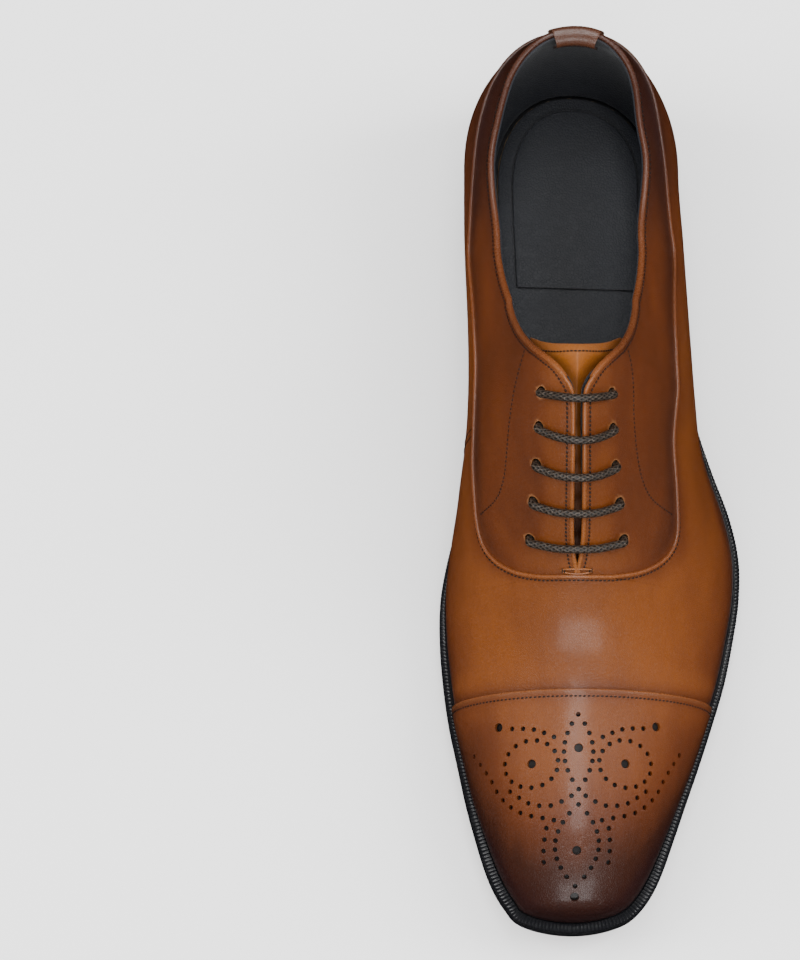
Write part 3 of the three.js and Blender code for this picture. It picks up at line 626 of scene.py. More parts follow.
@dataclass(frozen=True)
class Braid:
    """Round waxed cotton lace, braided, with paler flecks where the wax has worn."""

    name: str
    turns: float = 250.0
    strands: float = 6.0

    def make(self) -> bpy.types.Material:
        """Returns the material."""
        r = Recipe(self.name)
        uv = r.node("ShaderNodeUVMap", {"uv_map": "UVMap"}, out="UV")
        parts = r.node("ShaderNodeSeparateXYZ", None, {"Vector": uv}, out="X")
        across = Wire(r, parts.socket.node.outputs["Y"])
        u = parts * (self.turns * 2 * math.pi)
        v = across * (self.strands * 2 * math.pi)
        left = (u + v).sine()
        right = (u - v).sine()
        weave = left.most(right)
        fleck = r.noise(1500, 3)
        # Raised strands lighter and the grooves between them darker: painted shade in the grooves.
        base = r.blend(weave.step(-0.2, 0.95), (0.0060, 0.0042, 0.0032), (0.026, 0.018, 0.0125))
        colour = r.blend((fleck.step(0.52, 0.72) * weave.step(0.1, 0.9)) * 0.6, base, (0.12, 0.092, 0.07))
        return r.finish(Base_Color=colour, Roughness=0.46 + (fleck - 0.5) * 0.25,
                        Normal=r.bump(weave + fleck * 0.4, 0.00016, 0.6), Coat_Weight=0.15, Coat_Roughness=0.3)


@dataclass(frozen=True)
class Plated:
    """Dull plated brass."""

    name: str

    def make(self) -> bpy.types.Material:
        """Returns the material."""
        r = Recipe(self.name)
        tarnish = r.noise(420, 3)
        colour = r.blend(tarnish.step(0.4, 0.75) * 0.6, (0.40, 0.29, 0.14), (0.14, 0.10, 0.055))
        return r.finish(Base_Color=colour, Metallic=1.0, Roughness=0.34 + (tarnish - 0.5) * 0.2)


@dataclass(frozen=True)
class Board:
    """Leather board and cork, inside the shoe."""

    name: str
    colour: Colour = (0.15, 0.10, 0.055)

    def make(self) -> bpy.types.Material:
        """Returns the material."""
        r = Recipe(self.name)
        crumb = r.cells(320, "F1")
        fine = r.noise(800, 3)
        colour = r.blend(crumb.step(0.1, 0.6) * 0.5 + (fine - 0.5) * 0.2, self.colour, (0.07, 0.042, 0.022))
        return r.finish(Base_Color=colour, Roughness=0.85 + (fine - 0.5) * 0.1, Normal=r.bump(crumb, 0.0003, 0.5))


# ---------------------------------------------------------------- bench tools


def lay_down() -> None:
    """Deselects everything."""
    if bpy.context.object and bpy.context.object.mode != "OBJECT":
        bpy.ops.object.mode_set(mode="OBJECT")
    bpy.ops.object.select_all(action="DESELECT")


def pick_up(piece: bpy.types.Object) -> None:
    """Makes a piece the only selected and active one."""
    lay_down()
    piece.select_set(True)
    bpy.context.view_layer.objects.active = piece


def patch(name: str, places: Array) -> bpy.types.Object:
    """Adds a grid and lays it over given places.

    Args:
        name: the piece's name.
        places: positions in metres, stations by rows by 3, turning outwards by the right hand.

    Returns:
        The piece, with a UV map that runs along and across it.
    """
    lay_down()
    stations, rows = places.shape[:2]
    bpy.ops.mesh.primitive_grid_add(x_subdivisions=stations - 1, y_subdivisions=rows - 1, size=1, calc_uvs=True)
    piece = bpy.context.object
    piece.name = name
    piece.data.name = name
    flat = np.ascontiguousarray(places.transpose(1, 0, 2), float).ravel()
    piece.data.vertices.foreach_set("co", flat)
    piece.data.update()
    return piece


def weld(pieces: Sequence[bpy.types.Object], gap: float = 2e-5) -> bpy.types.Object:
    """Joins patches into one mesh and merges the points they share."""
    lay_down()
    for piece in pieces:
        piece.select_set(True)
    bpy.context.view_layer.objects.active = pieces[0]
    if len(pieces) > 1:
        bpy.ops.object.join()
    joined = bpy.context.object
    bpy.ops.object.mode_set(mode="EDIT")
    bpy.ops.mesh.select_all(action="SELECT")
    bpy.ops.mesh.remove_doubles(threshold=gap)
    bpy.ops.mesh.dissolve_degenerate(threshold=1e-7)
    bpy.ops.object.mode_set(mode="OBJECT")
    return joined


def modify(piece: bpy.types.Object, kind: str, **settings: object) -> None:
    """Adds a modifier with settings and applies it."""
    pick_up(piece)
    made = piece.modifiers.new(kind.lower(), kind)
    for key, value in settings.items():
        setattr(made, key, value)
    bpy.ops.object.modifier_apply(modifier=made.name)


def thicken(piece: bpy.types.Object, millimetres: float, edge: float = 0.0) -> None:
    """Gives a skin its thickness inwards, with its edge rounded."""
    modify(piece, "SOLIDIFY", thickness=millimetres * MM, offset=-1.0, use_even_offset=False)
    if edge:
        modify(piece, "BEVEL", width=edge * MM, segments=2, limit_method="ANGLE",
               angle_limit=math.radians(50))


def close_ends(piece: bpy.types.Object) -> None:
    """Fills the open ends of a tube or ring."""
    pick_up(piece)
    bpy.ops.object.mode_set(mode="EDIT")
    bpy.ops.mesh.select_all(action="DESELECT")
    bpy.ops.mesh.select_mode(type="EDGE")
    bpy.ops.mesh.select_non_manifold(extend=False, use_boundary=True, use_wire=False, use_multi_face=False,
                                     use_non_contiguous=False, use_verts=False)
    bpy.ops.mesh.fill_holes(sides=0)
    bpy.ops.mesh.select_mode(type="VERT")
    bpy.ops.mesh.select_all(action="SELECT")
    bpy.ops.mesh.normals_make_consistent(inside=False)
    bpy.ops.object.mode_set(mode="OBJECT")


def smooth(piece: bpy.types.Object, angle: float = 40.0) -> None:
    """Shades a piece smooth up to an angle in degrees."""
    pick_up(piece)
    bpy.ops.object.shade_smooth_by_angle(angle=math.radians(angle))


def dress(piece: bpy.types.Object, material: bpy.types.Material, body: Body = Body.SHOE,
          replaces: Sequence[str] = ()) -> bpy.types.Object:
    """Gives a piece its material and the body it rides on, and hides the frame nodes it replaces.

    Args:
        piece: the finished piece.
        material: its material.
        body: the body it moves with.
        replaces: frame nodes it stands for.

    Returns:
        The piece.
    """
    piece.data.materials.clear()
    piece.data.materials.append(material)
    if replaces:
        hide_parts(*replaces)
    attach(piece, body.value)
    log.info("%s: %d faces", piece.name, len(piece.data.polygons))
    return piece


def paint(piece: bpy.types.Object, name: str, values: Array) -> None:
    """Stores a number at each point of a mesh."""
    attribute = piece.data.attributes.get(name) or piece.data.attributes.new(name, "FLOAT", "POINT")
    attribute.data.foreach_set("value", np.clip(values, 0, 1.5).astype(np.float32))


def points_of(piece: bpy.types.Object) -> Array:
    """Returns a mesh's points in millimetres, as x, way from the toe, z."""
    co = np.empty(len(piece.data.vertices) * 3)
    piece.data.vertices.foreach_get("co", co)
    return co.reshape(-1, 3) / MM + (0, LENGTH / 2, 0)


def ease(x: Array, low: float, high: float) -> Array:
    """Returns a smooth step from 0 at low to 1 at high; low may be the greater."""
    u = np.clip((x - low) / (high - low), 0, 1)
    return u * u * (3 - 2 * u)


def near(distance: Array, reach: float) -> Array:
    """Returns 1 at a line, fading to 0 at a reach from it."""
    return np.exp(-((distance / reach) ** 2))


def burnish_upper(piece: bpy.types.Object) -> None:
    """Paints where cream was worked into the upper: toe, heel, sole edge, seams and top line."""
    x, l, z = points_of(piece).T
    up = np.maximum(z - EDGE_Z(np.minimum(l, FAN)), 0)
    aside = np.abs(x - RIDGE_X(np.minimum(l, FAN)))
    toe = ease(l, 62, 2) * 0.72 + ease(l, 84, 60) * ease(aside, 14, 36) * 0.30
    heel = ease(l, 215, 292) * 0.34
    foot = near(up, 10) * 0.34
    seam = near(z - SEAM_LINE(l), 6) * 0.22 * ease(l, 106, 116)
    cap = near(l - CAP_EDGE, 3.5) * 0.2
    quarter = ease(z - SEAM_LINE(l), -1, 3) * ease(l, 112, 128) * 0.30
    facing = ease(aside, 15, 8) * ease(l, 118, 126) * ease(l, 184, 172) * -0.16
    collar = near(z - TOP_LINE(np.maximum(l, 166)), 6) * 0.12 * ease(l, 172, 186)
    side = ease(aside, 26, 44) * ease(l, 84, 92) * 0.16
    paint(piece, "burnish", 0.14 + toe + heel + foot + seam + cap + quarter + facing + collar + side)
    paint(piece, "rim", np.zeros(len(x)))


def rod(name: str, path: Array, radius: float, sides: int = 10) -> bpy.types.Object:
    """Makes a round cord along a path from a curve with a round section.

    Args:
        name: the piece's name.
        path: points in metres.
        radius: in millimetres.
        sides: flats round it, a multiple of four.

    Returns:
        The piece, as a closed mesh.
    """
    lay_down()
    line = bpy.data.curves.new(name, "CURVE")
    line.dimensions = "3D"
    spline = line.splines.new("POLY")
    spline.points.add(len(path) - 1)
    spline.points.foreach_set("co", np.c_[path, np.ones(len(path))].ravel())
    line.bevel_depth = radius * MM
    line.bevel_resolution = max(sides // 2 - 2, 1)
    line.use_fill_caps = True
    piece = bpy.data.objects.new(name, line)
    bpy.context.collection.objects.link(piece)
    pick_up(piece)
    bpy.ops.object.convert(target="MESH")
    made = weld([bpy.context.object], 1e-6)
    smooth(made, 50)
    return made


def even(path: Array, step: float) -> Array:
    """Returns a path cut into even steps, in metres."""
    run = np.r_[0, np.cumsum(np.linalg.norm(np.diff(path, axis=0), axis=1))]
    count = max(int(round(run[-1] / step)), 2)
    at = np.linspace(0, run[-1], count + 1)
    return np.stack([np.interp(at, run, path[:, k]) for k in range(3)], -1)


def smooth_path(points: Array, per_span: int = 12) -> Array:
    """Returns a centripetal Catmull-Rom curve through points."""
    p = np.vstack([2 * points[0] - points[1], points, 2 * points[-1] - points[-2]])
    made = []
    for i in range(1, len(p) - 2):
        knots = [0.0]
        for k in range(3):
            knots.append(knots[-1] + max(float(np.linalg.norm(p[i + k] - p[i + k - 1])), 1e-9) ** 0.5)
        t = np.linspace(knots[1], knots[2], per_span, endpoint=False)[:, None]
        a = [(knots[k + 1] - t) / (knots[k + 1] - knots[k]) * p[i + k - 1]
             + (t - knots[k]) / (knots[k + 1] - knots[k]) * p[i + k] for k in range(3)]
        b = [(knots[k + 2] - t) / (knots[k + 2] - knots[k]) * a[k]
             + (t - knots[k]) / (knots[k + 2] - knots[k]) * a[k + 1] for k in range(2)]
        made.append((knots[2] - t) / (knots[2] - knots[1]) * b[0] + (t - knots[1]) / (knots[2] - knots[1]) * b[1])
    return np.vstack([*made, points[-1:]])


@dataclass
class Row:
    """A row of sewing: where it runs, and the outward direction along it."""

    name: str
    path: Array
    outward: Array


def row_on_last(name: str, side: Side, s: Array, t: Array, lift: float) -> Row:
    """Returns a row of sewing that lies on the last."""
    return Row(name, LAST.lifted(side, s, t, lift), LAST.normal(side, s, t))


def row_beside(name: str, path: Array, outward: Array, distance: float, lift: float = 0.1) -> Row:
    """Returns a row that keeps a distance from a bead.

    Args:
        name: the row's name.
        path: the bead's line on the leather, in metres.
        outward: the leather's outward direction along it.
        distance: millimetres to the right of the way the bead runs, seen from outside.
        lift: millimetres above the leather.
    """
    along = np.gradient(path, axis=0)
    across = np.cross(outward, along)
    across /= np.maximum(np.linalg.norm(across, axis=1, keepdims=True), 1e-12)
    return Row(name, path + across * distance * MM + outward * lift * MM, outward)


@dataclass
class Sewing:
    """Every row of stitches on the shoe."""

    pitch: float = 1.5
    length: float = 1.22
    width: float = 0.56
    depth: float = 0.40
    prototype: Array = field(default_factory=lambda: np.empty(0))
    faces: list[tuple[int, ...]] = field(default_factory=list)

    def model(self) -> None:
        """Models one stitch: a short capsule, its ends diving into the leather."""
        lay_down()
        bpy.ops.mesh.primitive_uv_sphere_add(segments=8, ring_count=6, radius=0.5)
        stitch = bpy.context.object
        pick_up(stitch)
        bpy.ops.object.mode_set(mode="EDIT")
        bpy.ops.mesh.select_all(action="SELECT")
        bpy.ops.transform.rotate(value=math.pi / 2, orient_axis="Y", center_override=(0, 0, 0))
        bpy.ops.transform.resize(value=(self.length, self.width, self.depth), center_override=(0, 0, 0))
        bpy.ops.object.mode_set(mode="OBJECT")
        co = np.array([v.co for v in stitch.data.vertices], float)
        co[:, 2] -= 0.20 * (np.abs(co[:, 0]) / (self.length / 2)) ** 2
        self.prototype = co * MM
        self.faces = [tuple(p.vertices) for p in stitch.data.polygons]
        bpy.data.objects.remove(stitch)

    def sew(self, row: Row, material: bpy.types.Material, slot: str = "upper_leather", body: Body = Body.SHOE,
            slant: float = 0.0) -> bpy.types.Object:
        """Copies the stitch along a row.

        Args:
            row: the row.
            material: the thread.
            slot: not used.
            body: the body it rides on.
            slant: turn of each stitch against the row, in radians.

        Returns:
            The row as one piece.
        """
        run = np.r_[0, np.cumsum(np.linalg.norm(np.diff(row.path, axis=0), axis=1))]
        count = max(int(run[-1] / (self.pitch * MM)), 1)
        at = (np.arange(count) + 0.5) * run[-1] / count
        centre = np.stack([np.interp(at, run, row.path[:, k]) for k in range(3)], -1)
        ahead = np.stack([np.interp(at + 2e-4, run, row.path[:, k]) for k in range(3)], -1)
        behind = np.stack([np.interp(at - 2e-4, run, row.path[:, k]) for k in range(3)], -1)
        up = np.stack([np.interp(at, run, row.outward[:, k]) for k in range(3)], -1)
        along = ahead - behind
        along /= np.linalg.norm(along, axis=1, keepdims=True)
        up -= along * (up * along).sum(1, keepdims=True)
        up /= np.linalg.norm(up, axis=1, keepdims=True)
        across = np.cross(up, along)
        turned = along * math.cos(slant) + across * math.sin(slant)
        across = np.cross(up, turned)
        basis = np.stack([turned, across, up], 1)
        verts = (np.einsum("vk,nkj->nvj", self.prototype, basis) + centre[:, None, :]).reshape(-1, 3)
        n = len(self.prototype)
        faces = [tuple(i * n + v for v in f) for i in range(count) for f in self.faces]
        mesh = bpy.data.meshes.new(row.name)
        mesh.from_pydata(verts.tolist(), [], faces)
        piece = bpy.data.objects.new(row.name, mesh)
        bpy.context.collection.objects.link(piece)
        smooth(piece, 80)
        return dress(piece, material, body)


# ---------------------------------------------------------------- the shoe


def toe_run(to: float, count: int) -> Array:
    """Returns stations from the toe tip, close together where the toe turns over."""
    return TOE + (to - TOE) * np.linspace(0, 1, count) ** 2


def skin(side: Side, stations: Array, low: Array, high: Array, rows: int, lift: Array | float) -> Array:
    """Returns the places of a patch on the last, turning outwards on either side.

    Args:
        side: which side of the foot.
        stations: ways along the shoe.
        low: t of the lower edge at each station.
        high: t of the upper edge at each station.
        rows: steps from edge to edge.
        lift: height off the last in millimetres, one number or one at every place.
    """
    u = np.linspace(0, 1, rows + 1)[None, :]
    t = low[:, None] * (1 - u) + high[:, None] * u
    places = LAST.lifted(side, np.broadcast_to(stations[:, None], t.shape), t, lift)
    return places if side is Side.OUT else places[::-1]


@dataclass
class Medallion:
    """The punched figure on the toe cap, half of it listed in millimetres from the cap's middle line."""

    small: float = 0.82
    large: float = 1.5

    def leaf(self, tip: float, base: float, half: float, count: int) -> list[tuple[float, float]]:
        """Returns one side of a pointed oval between two places on the middle line."""
        u = [k / (count + 1) for k in range(1, count + 1)]
        return [(half * math.sin(math.pi * k) ** 0.85, tip + (base - tip) * k) for k in u]

    def ring(self, x: float, l: float, wide: float, high: float, count: int) -> list[tuple[float, float]]:
        """Returns a ring of holes."""
        a = [2 * math.pi * (k + 0.25) / count for k in range(count)]
        return [(x + wide * math.cos(k), l + high * math.sin(k)) for k in a]

    def sweep(self, knots: Sequence[tuple[float, float]], count: int) -> list[tuple[float, float]]:
        """Returns holes evenly along a curve through knots."""
        path = smooth_path(np.array([(x, l, 0) for x, l in knots], float))
        run = np.r_[0, np.cumsum(np.linalg.norm(np.diff(path, axis=0), axis=1))]
        at = np.linspace(0, run[-1], count)
        return [(float(np.interp(a, run, path[:, 0])), float(np.interp(a, run, path[:, 1]))) for a in at]

    def holes(self) -> list[tuple[float, float, float]]:
        """Returns every hole as distance from the middle line, way from the toe, and radius."""
        half = self.leaf(70.9, 45.8, 4.8, 7) + self.leaf(40.7, 14.7, 7.1, 8)
        half += self.ring(15.3, 54.7, 8.6, 7.9, 15)
        half += self.sweep([(21.5, 67.0), (14.5, 66.2), (8.0, 63.4)], 5)
        half += self.sweep([(33.6, 60.0), (28.6, 51.6), (24.8, 44.4), (18.5, 38.8), (7.8, 35.7)], 11)
        half += self.sweep([(22.1, 46.2), (15.4, 41.4), (8.3, 40.6), (2.3, 43.6)], 7)
        half += self.sweep([(10.1, 33.2), (10.7, 27.7), (10.4, 22.4)], 4)
        middle = [(0.0, l, self.small) for l in (70.9, 45.8, 40.7, 14.7)]
        middle += [(0.0, l, self.large) for l in (59.6, 25.9, 11.3)]
        sided = [(s * x, l, self.small) for x, l in half for s in (1, -1)]
        large = [(s * x, l, self.large) for x, l in ((25.8, 68.0), (15.3, 54.7)) for s in (1, -1)]
        return middle + sided + large


@dataclass
class Upper:
    """The leather upper: cap, vamp, quarters, pipings and linings."""

    calf: bpy.types.Material
    piping: bpy.types.Material
    lining: bpy.types.Material
    thread: bpy.types.Material
    sewing: Sewing
    rows: int = 56
    bead: float = 0.72
    tab_low: float = 82.5
    tab_inside: float = 86.0

    def toe_cap(self) -> None:
        """Makes the cap and punches the medallion through it."""
        stations = np.r_[toe_run(34, 38), np.linspace(35.2, CAP_EDGE, 36)]
        halves = [patch("cap_half", skin(side, stations, footing(side, stations, 0.25), np.ones(len(stations)),
                                         self.rows, CAP_TOP)) for side in Side]
        cap = weld(halves)
        cap.name = "toe_cap_leather"
        thicken(cap, 1.1, 0.3)
        self.punch(cap)
        burnish_upper(cap)
        l = points_of(cap)[:, 1]
        # Pale line along the cap's fold: painted highlight on the folded edge.
        paint(cap, "rim", near(l - CAP_EDGE, 0.5) * 0.3)
        smooth(cap, 38)
        dress(cap, self.calf, replaces=["toe_cap"])

    def punch(self, cap: bpy.types.Object) -> None:
        """Cuts the medallion's holes with small cutters joined into one."""
        cutters = []
        for x, l, radius in Medallion().holes():
            side = Side.OUT if x >= 0 else Side.IN
            s = np.array([l])
            t = LAST.at_half(side, s, abs(x)) if abs(x) > 0.01 else np.array([1.0])
            centre = LAST.lifted(side, s, t, CAP_TOP)[0]
            normal = Vector(LAST.normal(side, s, t)[0])
            lay_down()
            bpy.ops.mesh.primitive_cone_add(vertices=14 if radius < 1 else 22, radius1=radius * MM * 0.9,
                                            radius2=radius * MM * 1.12, depth=0.003,
                                            location=centre - np.array(normal) * 0.0002,
                                            rotation=normal.to_track_quat("Z", "Y").to_euler())
            cutters.append(bpy.context.object)
        lay_down()
        for cutter in cutters:
            cutter.select_set(True)
        bpy.context.view_layer.objects.active = cutters[0]
        bpy.ops.object.join()
        joined = bpy.context.object
        modify(cap, "BOOLEAN", operation="DIFFERENCE", object=joined, solver="EXACT", use_self=True)
        bpy.data.objects.remove(joined)

    def vamp(self) -> None:
        """Makes the vamp, which runs round the outside to the heel, and the inside galosh behind it."""
        front = np.linspace(71, THROAT, 34)
        parts = [patch("vamp_part", skin(side, front, footing(side, front, -LEATHER), np.ones(34), self.rows, 0.0))
                 for side in Side]
        outer = THROAT + (END - THROAT) * np.linspace(0, 1, 170) ** 1.25
        inner = THROAT + (WAIST_SEAM - 0.3 - THROAT) * np.linspace(0, 1, 52) ** 1.4
        for side, arm in ((Side.OUT, outer), (Side.IN, inner)):
            high = seam_edge(side, arm, -0.1)
            high[0] = 1.0
            parts.append(patch("vamp_part", skin(side, arm, footing(side, arm, -LEATHER), high, self.rows, 0.0)))
        vamp = weld(parts)
        vamp.name = "vamp_leather"
        thicken(vamp, LEATHER, 0.25)
        rear = np.linspace(WAIST_SEAM, END - 0.4, 120)
        galosh = patch("medial_galosh_leather", skin(Side.IN, rear, footing(Side.IN, rear, -LEATHER),
                                                     seam_edge(Side.IN, rear, -0.1), self.rows, 0.0))
        thicken(galosh, LEATHER, 0.3)
        for piece, node in ((vamp, "vamp"), (galosh, "medial_galosh")):
            burnish_upper(piece)
            smooth(piece)
            dress(piece, self.calf, replaces=[node])

    def quarters(self) -> None:
        """Makes the two quarters with their lacing holes."""
        for side in Side:
            s = THROAT + 0.35 + (END - 0.3 * (side is Side.IN) - THROAT - 0.35) * np.linspace(0, 1, 200) ** 1.2
            low = seam_edge(side, s, 0.1)
            high = np.maximum(top_edge(side, s, 1.2), low + 0.002)
            word = "lateral" if side is Side.OUT else "medial"
            quarter = patch(f"{word}_quarter_leather", skin(side, s, low, high, 44, 0.0))
            thicken(quarter, LEATHER, 0.25)
            self.punch_lacing(quarter, side)
            burnish_upper(quarter)
            p = points_of(quarter)
            # Pale ring round each lacing hole: painted highlight on the curled punched edge.
            rim = np.zeros(len(p))
            for row, arc in zip(HOLE_ROWS, HOLE_ARCS):
                hole = LAST.place(side, np.array([row]), LAST.at_arc(side, np.array([row]), arc))[0]
                rim = np.maximum(rim, near(np.maximum(np.linalg.norm(p - hole, axis=1) - 1.95, 0), 0.28))
            paint(quarter, "rim", rim)
            smooth(quarter)
            dress(quarter, self.calf, replaces=[f"{word}_quarter"])

    def punch_lacing(self, quarter: bpy.types.Object, side: Side) -> None:
        """Cuts the five lacing holes of a quarter."""
        cutters = []
        for row, arc in zip(HOLE_ROWS, HOLE_ARCS):
            s = np.array([row])
            t = LAST.at_arc(side, s, arc)
            centre = LAST.lifted(side, s, t, -0.6)[0]
            normal = Vector(LAST.normal(side, s, t)[0])
            lay_down()
            bpy.ops.mesh.primitive_cylinder_add(vertices=28, radius=1.95 * MM, depth=0.005, location=centre,
                                                rotation=normal.to_track_quat("Z", "Y").to_euler())
            cutters.append(bpy.context.object)
        lay_down()
        for cutter in cutters:
            cutter.select_set(True)
        bpy.context.view_layer.objects.active = cutters[0]
        bpy.ops.object.join()
        joined = bpy.context.object
        modify(quarter, "BOOLEAN", operation="DIFFERENCE", object=joined, solver="EXACT")
        bpy.data.objects.remove(joined)

    def pipings(self) -> None:
        """Makes the folded beads along the seam, the facings and the top line."""
        line, outward = self.seam_line()
        bead = rod("seam_piping", even(line + outward * 0.12 * MM, 0.0011), self.bead, 12)
        self.finish_bead(bead, [])
        s = THROAT + 1.2 + (COLLAR_START - THROAT - 1.2) * np.linspace(0, 1, 90)
        for side in Side:
            path = even(LAST.lifted(side, s, top_edge(side, s, 0.75), -0.1), 0.0011)
            self.finish_bead(rod(f"facing_piping_{side.name.lower()}", path, 0.76, 12), [])
        s = np.linspace(COLLAR_START, END, 170)
        runs = [LAST.lifted(side, s, top_edge(side, s, 0.75), -0.35) for side in Side]
        path = even(np.vstack([runs[0], runs[1][::-1][1:]]), 0.0011)
        self.finish_bead(rod("top_line_piping", path, 1.05, 12), ["collar_binding"])
        s = np.linspace(0, 1, 60)
        fold = np.full(60, CAP_EDGE + 0.1)
        runs = [LAST.lifted(side, fold, footing(side, fold, 0.3) * (1 - s) + s, 0.86) for side in Side]
        path = even(np.vstack([runs[0], runs[1][::-1][1:]]), 0.0012)
        self.finish_bead(rod("cap_fold", path, 0.46, 12), [])

    def finish_bead(self, bead: bpy.types.Object, replaced: list[str]) -> None:
        """Paints and dresses a folded bead."""
        burnish_upper(bead)
        dress(bead, self.piping, replaces=replaced)

    def linings(self) -> None:
        """Makes the vamp and quarter linings."""
        front = np.r_[toe_run(34, 24), np.linspace(36, THROAT, 40)]
        halves = [patch("lining_half", skin(side, front, footing(side, front, -3.5), np.ones(len(front)), 36, -2.75))
                  for side in Side]
        vamp = weld(halves)
        vamp.name = "vamp_lining_leather"
        thicken(vamp, 0.75)
        back = np.linspace(THROAT + 0.4, END, 150)
        rise = np.linspace(0, 1, 41)[None, :]
        depth = -2.75 + 1.35 * ease(rise, 0.8, 0.97) * ease(back, 169, 174)[:, None]
        halves = [patch("lining_half", skin(side, back, footing(side, back, -3.5), top_edge(side, back, 0.7), 40,
                                            depth)) for side in Side]
        quarter = weld(halves)
        quarter.name = "quarter_lining_leather"
        thicken(quarter, 0.75, 0.2)
        for piece, node in ((vamp, "vamp_lining"), (quarter, "quarter_lining")):
            smooth(piece)
            dress(piece, self.lining, replaces=[node])

    def heel_tab(self) -> None:
        """Makes the strap folded over the middle of the collar."""
        half = np.linspace(END - 10, END, 14)
        columns = []
        for side in Side:
            rim = LAST.at_line(side, half, TOP_LINE)
            low = LAST.at_line(side, half, lambda l: self.tab_low + 0 * l)
            inside = LAST.at_line(side, half, lambda l: self.tab_inside + 0 * l)
            u = np.linspace(0, 1, 9)[:, None]
            outer = LAST.lifted(side, half[None, :], low + (rim - low) * u, 1.5)
            inner = LAST.lifted(side, half[None, :], inside + (rim - inside) * u[::-1], -5.1)
            a = np.linspace(0, math.pi, 11)[1:-1, None, None]
            middle = (outer[-1] + inner[0]) / 2
            reach = (outer[-1] - inner[0]) / 2
            height = np.linalg.norm(reach, axis=-1)[None, :, None]
            over = middle + reach * np.cos(a) + np.array([0, 0, 1]) * height * np.sin(a) * 0.55
            places = np.concatenate([outer, over, inner], 0).transpose(1, 0, 2)
            columns.append(places if side is Side.OUT else places[::-1])
        tab = weld([patch("heel_tab_half", c) for c in columns])
        tab.name = "heel_tab_leather"
        thicken(tab, 0.9, 0.25)
        burnish_upper(tab)
        x = points_of(tab)[:, 0]
        middle = (x.max() + x.min()) / 2
        paint(tab, "rim", near(np.maximum(np.abs(x - middle) - 8.6, 0) - 1.2, 0.9) * 0.5)
        smooth(tab)
        dress(tab, self.piping, replaces=["heel_tab"])

    def seam_line(self) -> tuple[Array, Array]:
        """Returns the seam from the outer heel, round the throat, to the inner heel, with its directions."""
        s = THROAT + (END - THROAT) * np.linspace(0, 1, 260) ** 1.5
        paths, normals = [], []
        for side in Side:
            t = seam_edge(side, s, -0.05)
            t[0] = 1.0
            paths.append(LAST.lifted(side, s, t, 0.0))
            normals.append(LAST.normal(side, s, t))
        return np.vstack([paths[0][::-1], paths[1][1:]]), np.vstack([normals[0][::-1], normals[1][1:]])

    def sew(self) -> None:
        """Sews every row of the upper."""
        sew = self.sewing.sew
        u = np.linspace(0, 1, 120)
        fold = np.full(120, CAP_EDGE - 1.9)
        for side in Side:
            t = footing(side, fold, 0.3) * (1 - u) + u
            sew(row_on_last(f"cap_row_{side.name.lower()}", side, fold, t, CAP_TOP + 0.05), self.thread,
                slant=0.2)
        path, outward = self.seam_line()
        sew(row_beside("seam_row", path, outward, 1.5), self.thread, slant=0.15)
        stay = Curve([(136.4, 58.8), (138.8, 70.3), (143, 77.3), (151, 84.3), (162, 91.2), (172, 96.6),
                      (183, 101.0)])
        for side in Side:
            word = side.name.lower()
            s = np.linspace(THROAT + 2.2, END - 10.5, 280)
            t = top_edge(side, s, 0.75)
            edge = LAST.lifted(side, s, t, 0.0)
            sew(row_beside(f"facing_row_{word}", edge, LAST.normal(side, s, t), -1.95 * int(side)), self.thread,
                slant=0.15)
            wing = np.linspace(136.8, 183, 120)
            sew(row_on_last(f"stay_row_{word}", side, wing, LAST.at_line(side, wing, stay), 0.06), self.thread)
        waist = np.array([WAIST_SEAM])
        foot = float(footing(Side.IN, waist, 0)[0]) + 0.01
        t = np.linspace(foot, float(seam_edge(Side.IN, waist, -1.6)[0]), 60)
        for n, shift in enumerate((-1.3, 1.3)):
            sew(row_on_last(f"waist_row_{n}", Side.IN, np.full(60, WAIST_SEAM + shift), t, 0.06), self.thread)

    def bar_tack(self) -> None:
        """Makes the tack that holds the foot of the slit: a long flat ring with thread wound on its ends."""
        s = np.array([THROAT + 1.5])
        t = np.array([1.0])
        middle, outward = LAST.lifted(Side.OUT, s, t, 0.35)[0], LAST.normal(Side.OUT, s, t)[0]
        along = np.array([1.0, 0, 0])
        across = np.cross(outward, along)
        a = np.linspace(0, 2 * math.pi, 61)
        droop = (5.2 * np.cos(a)) ** 2 / 44.0
        path = middle + MM * (5.2 * np.cos(a)[:, None] * along + 0.95 * np.sin(a)[:, None] * across
                              - droop[:, None] * outward)
        self.finish_bead(rod("throat_tack", path, 0.36, 8), [])
        tight = Sewing(pitch=0.5, length=1.9, width=0.5, depth=0.5)
        tight.model()
        for word, sign in (("out", 1), ("in", -1)):
            x = np.linspace(3.9, 5.3, 6)
            wound = middle + MM * (sign * x[:, None] * along + (0.28 - x[:, None] ** 2 / 44.0) * outward)
            tight.sew(Row(f"throat_wound_{word}", wound, np.broadcast_to(outward, wound.shape)), self.thread,
                      slant=math.pi / 2)

    def build(self) -> None:
        """Makes the whole upper."""
        self.toe_cap()
        self.vamp()
        self.quarters()
        self.pipings()
        self.linings()
        self.heel_tab()
        self.sew()
        self.bar_tack()


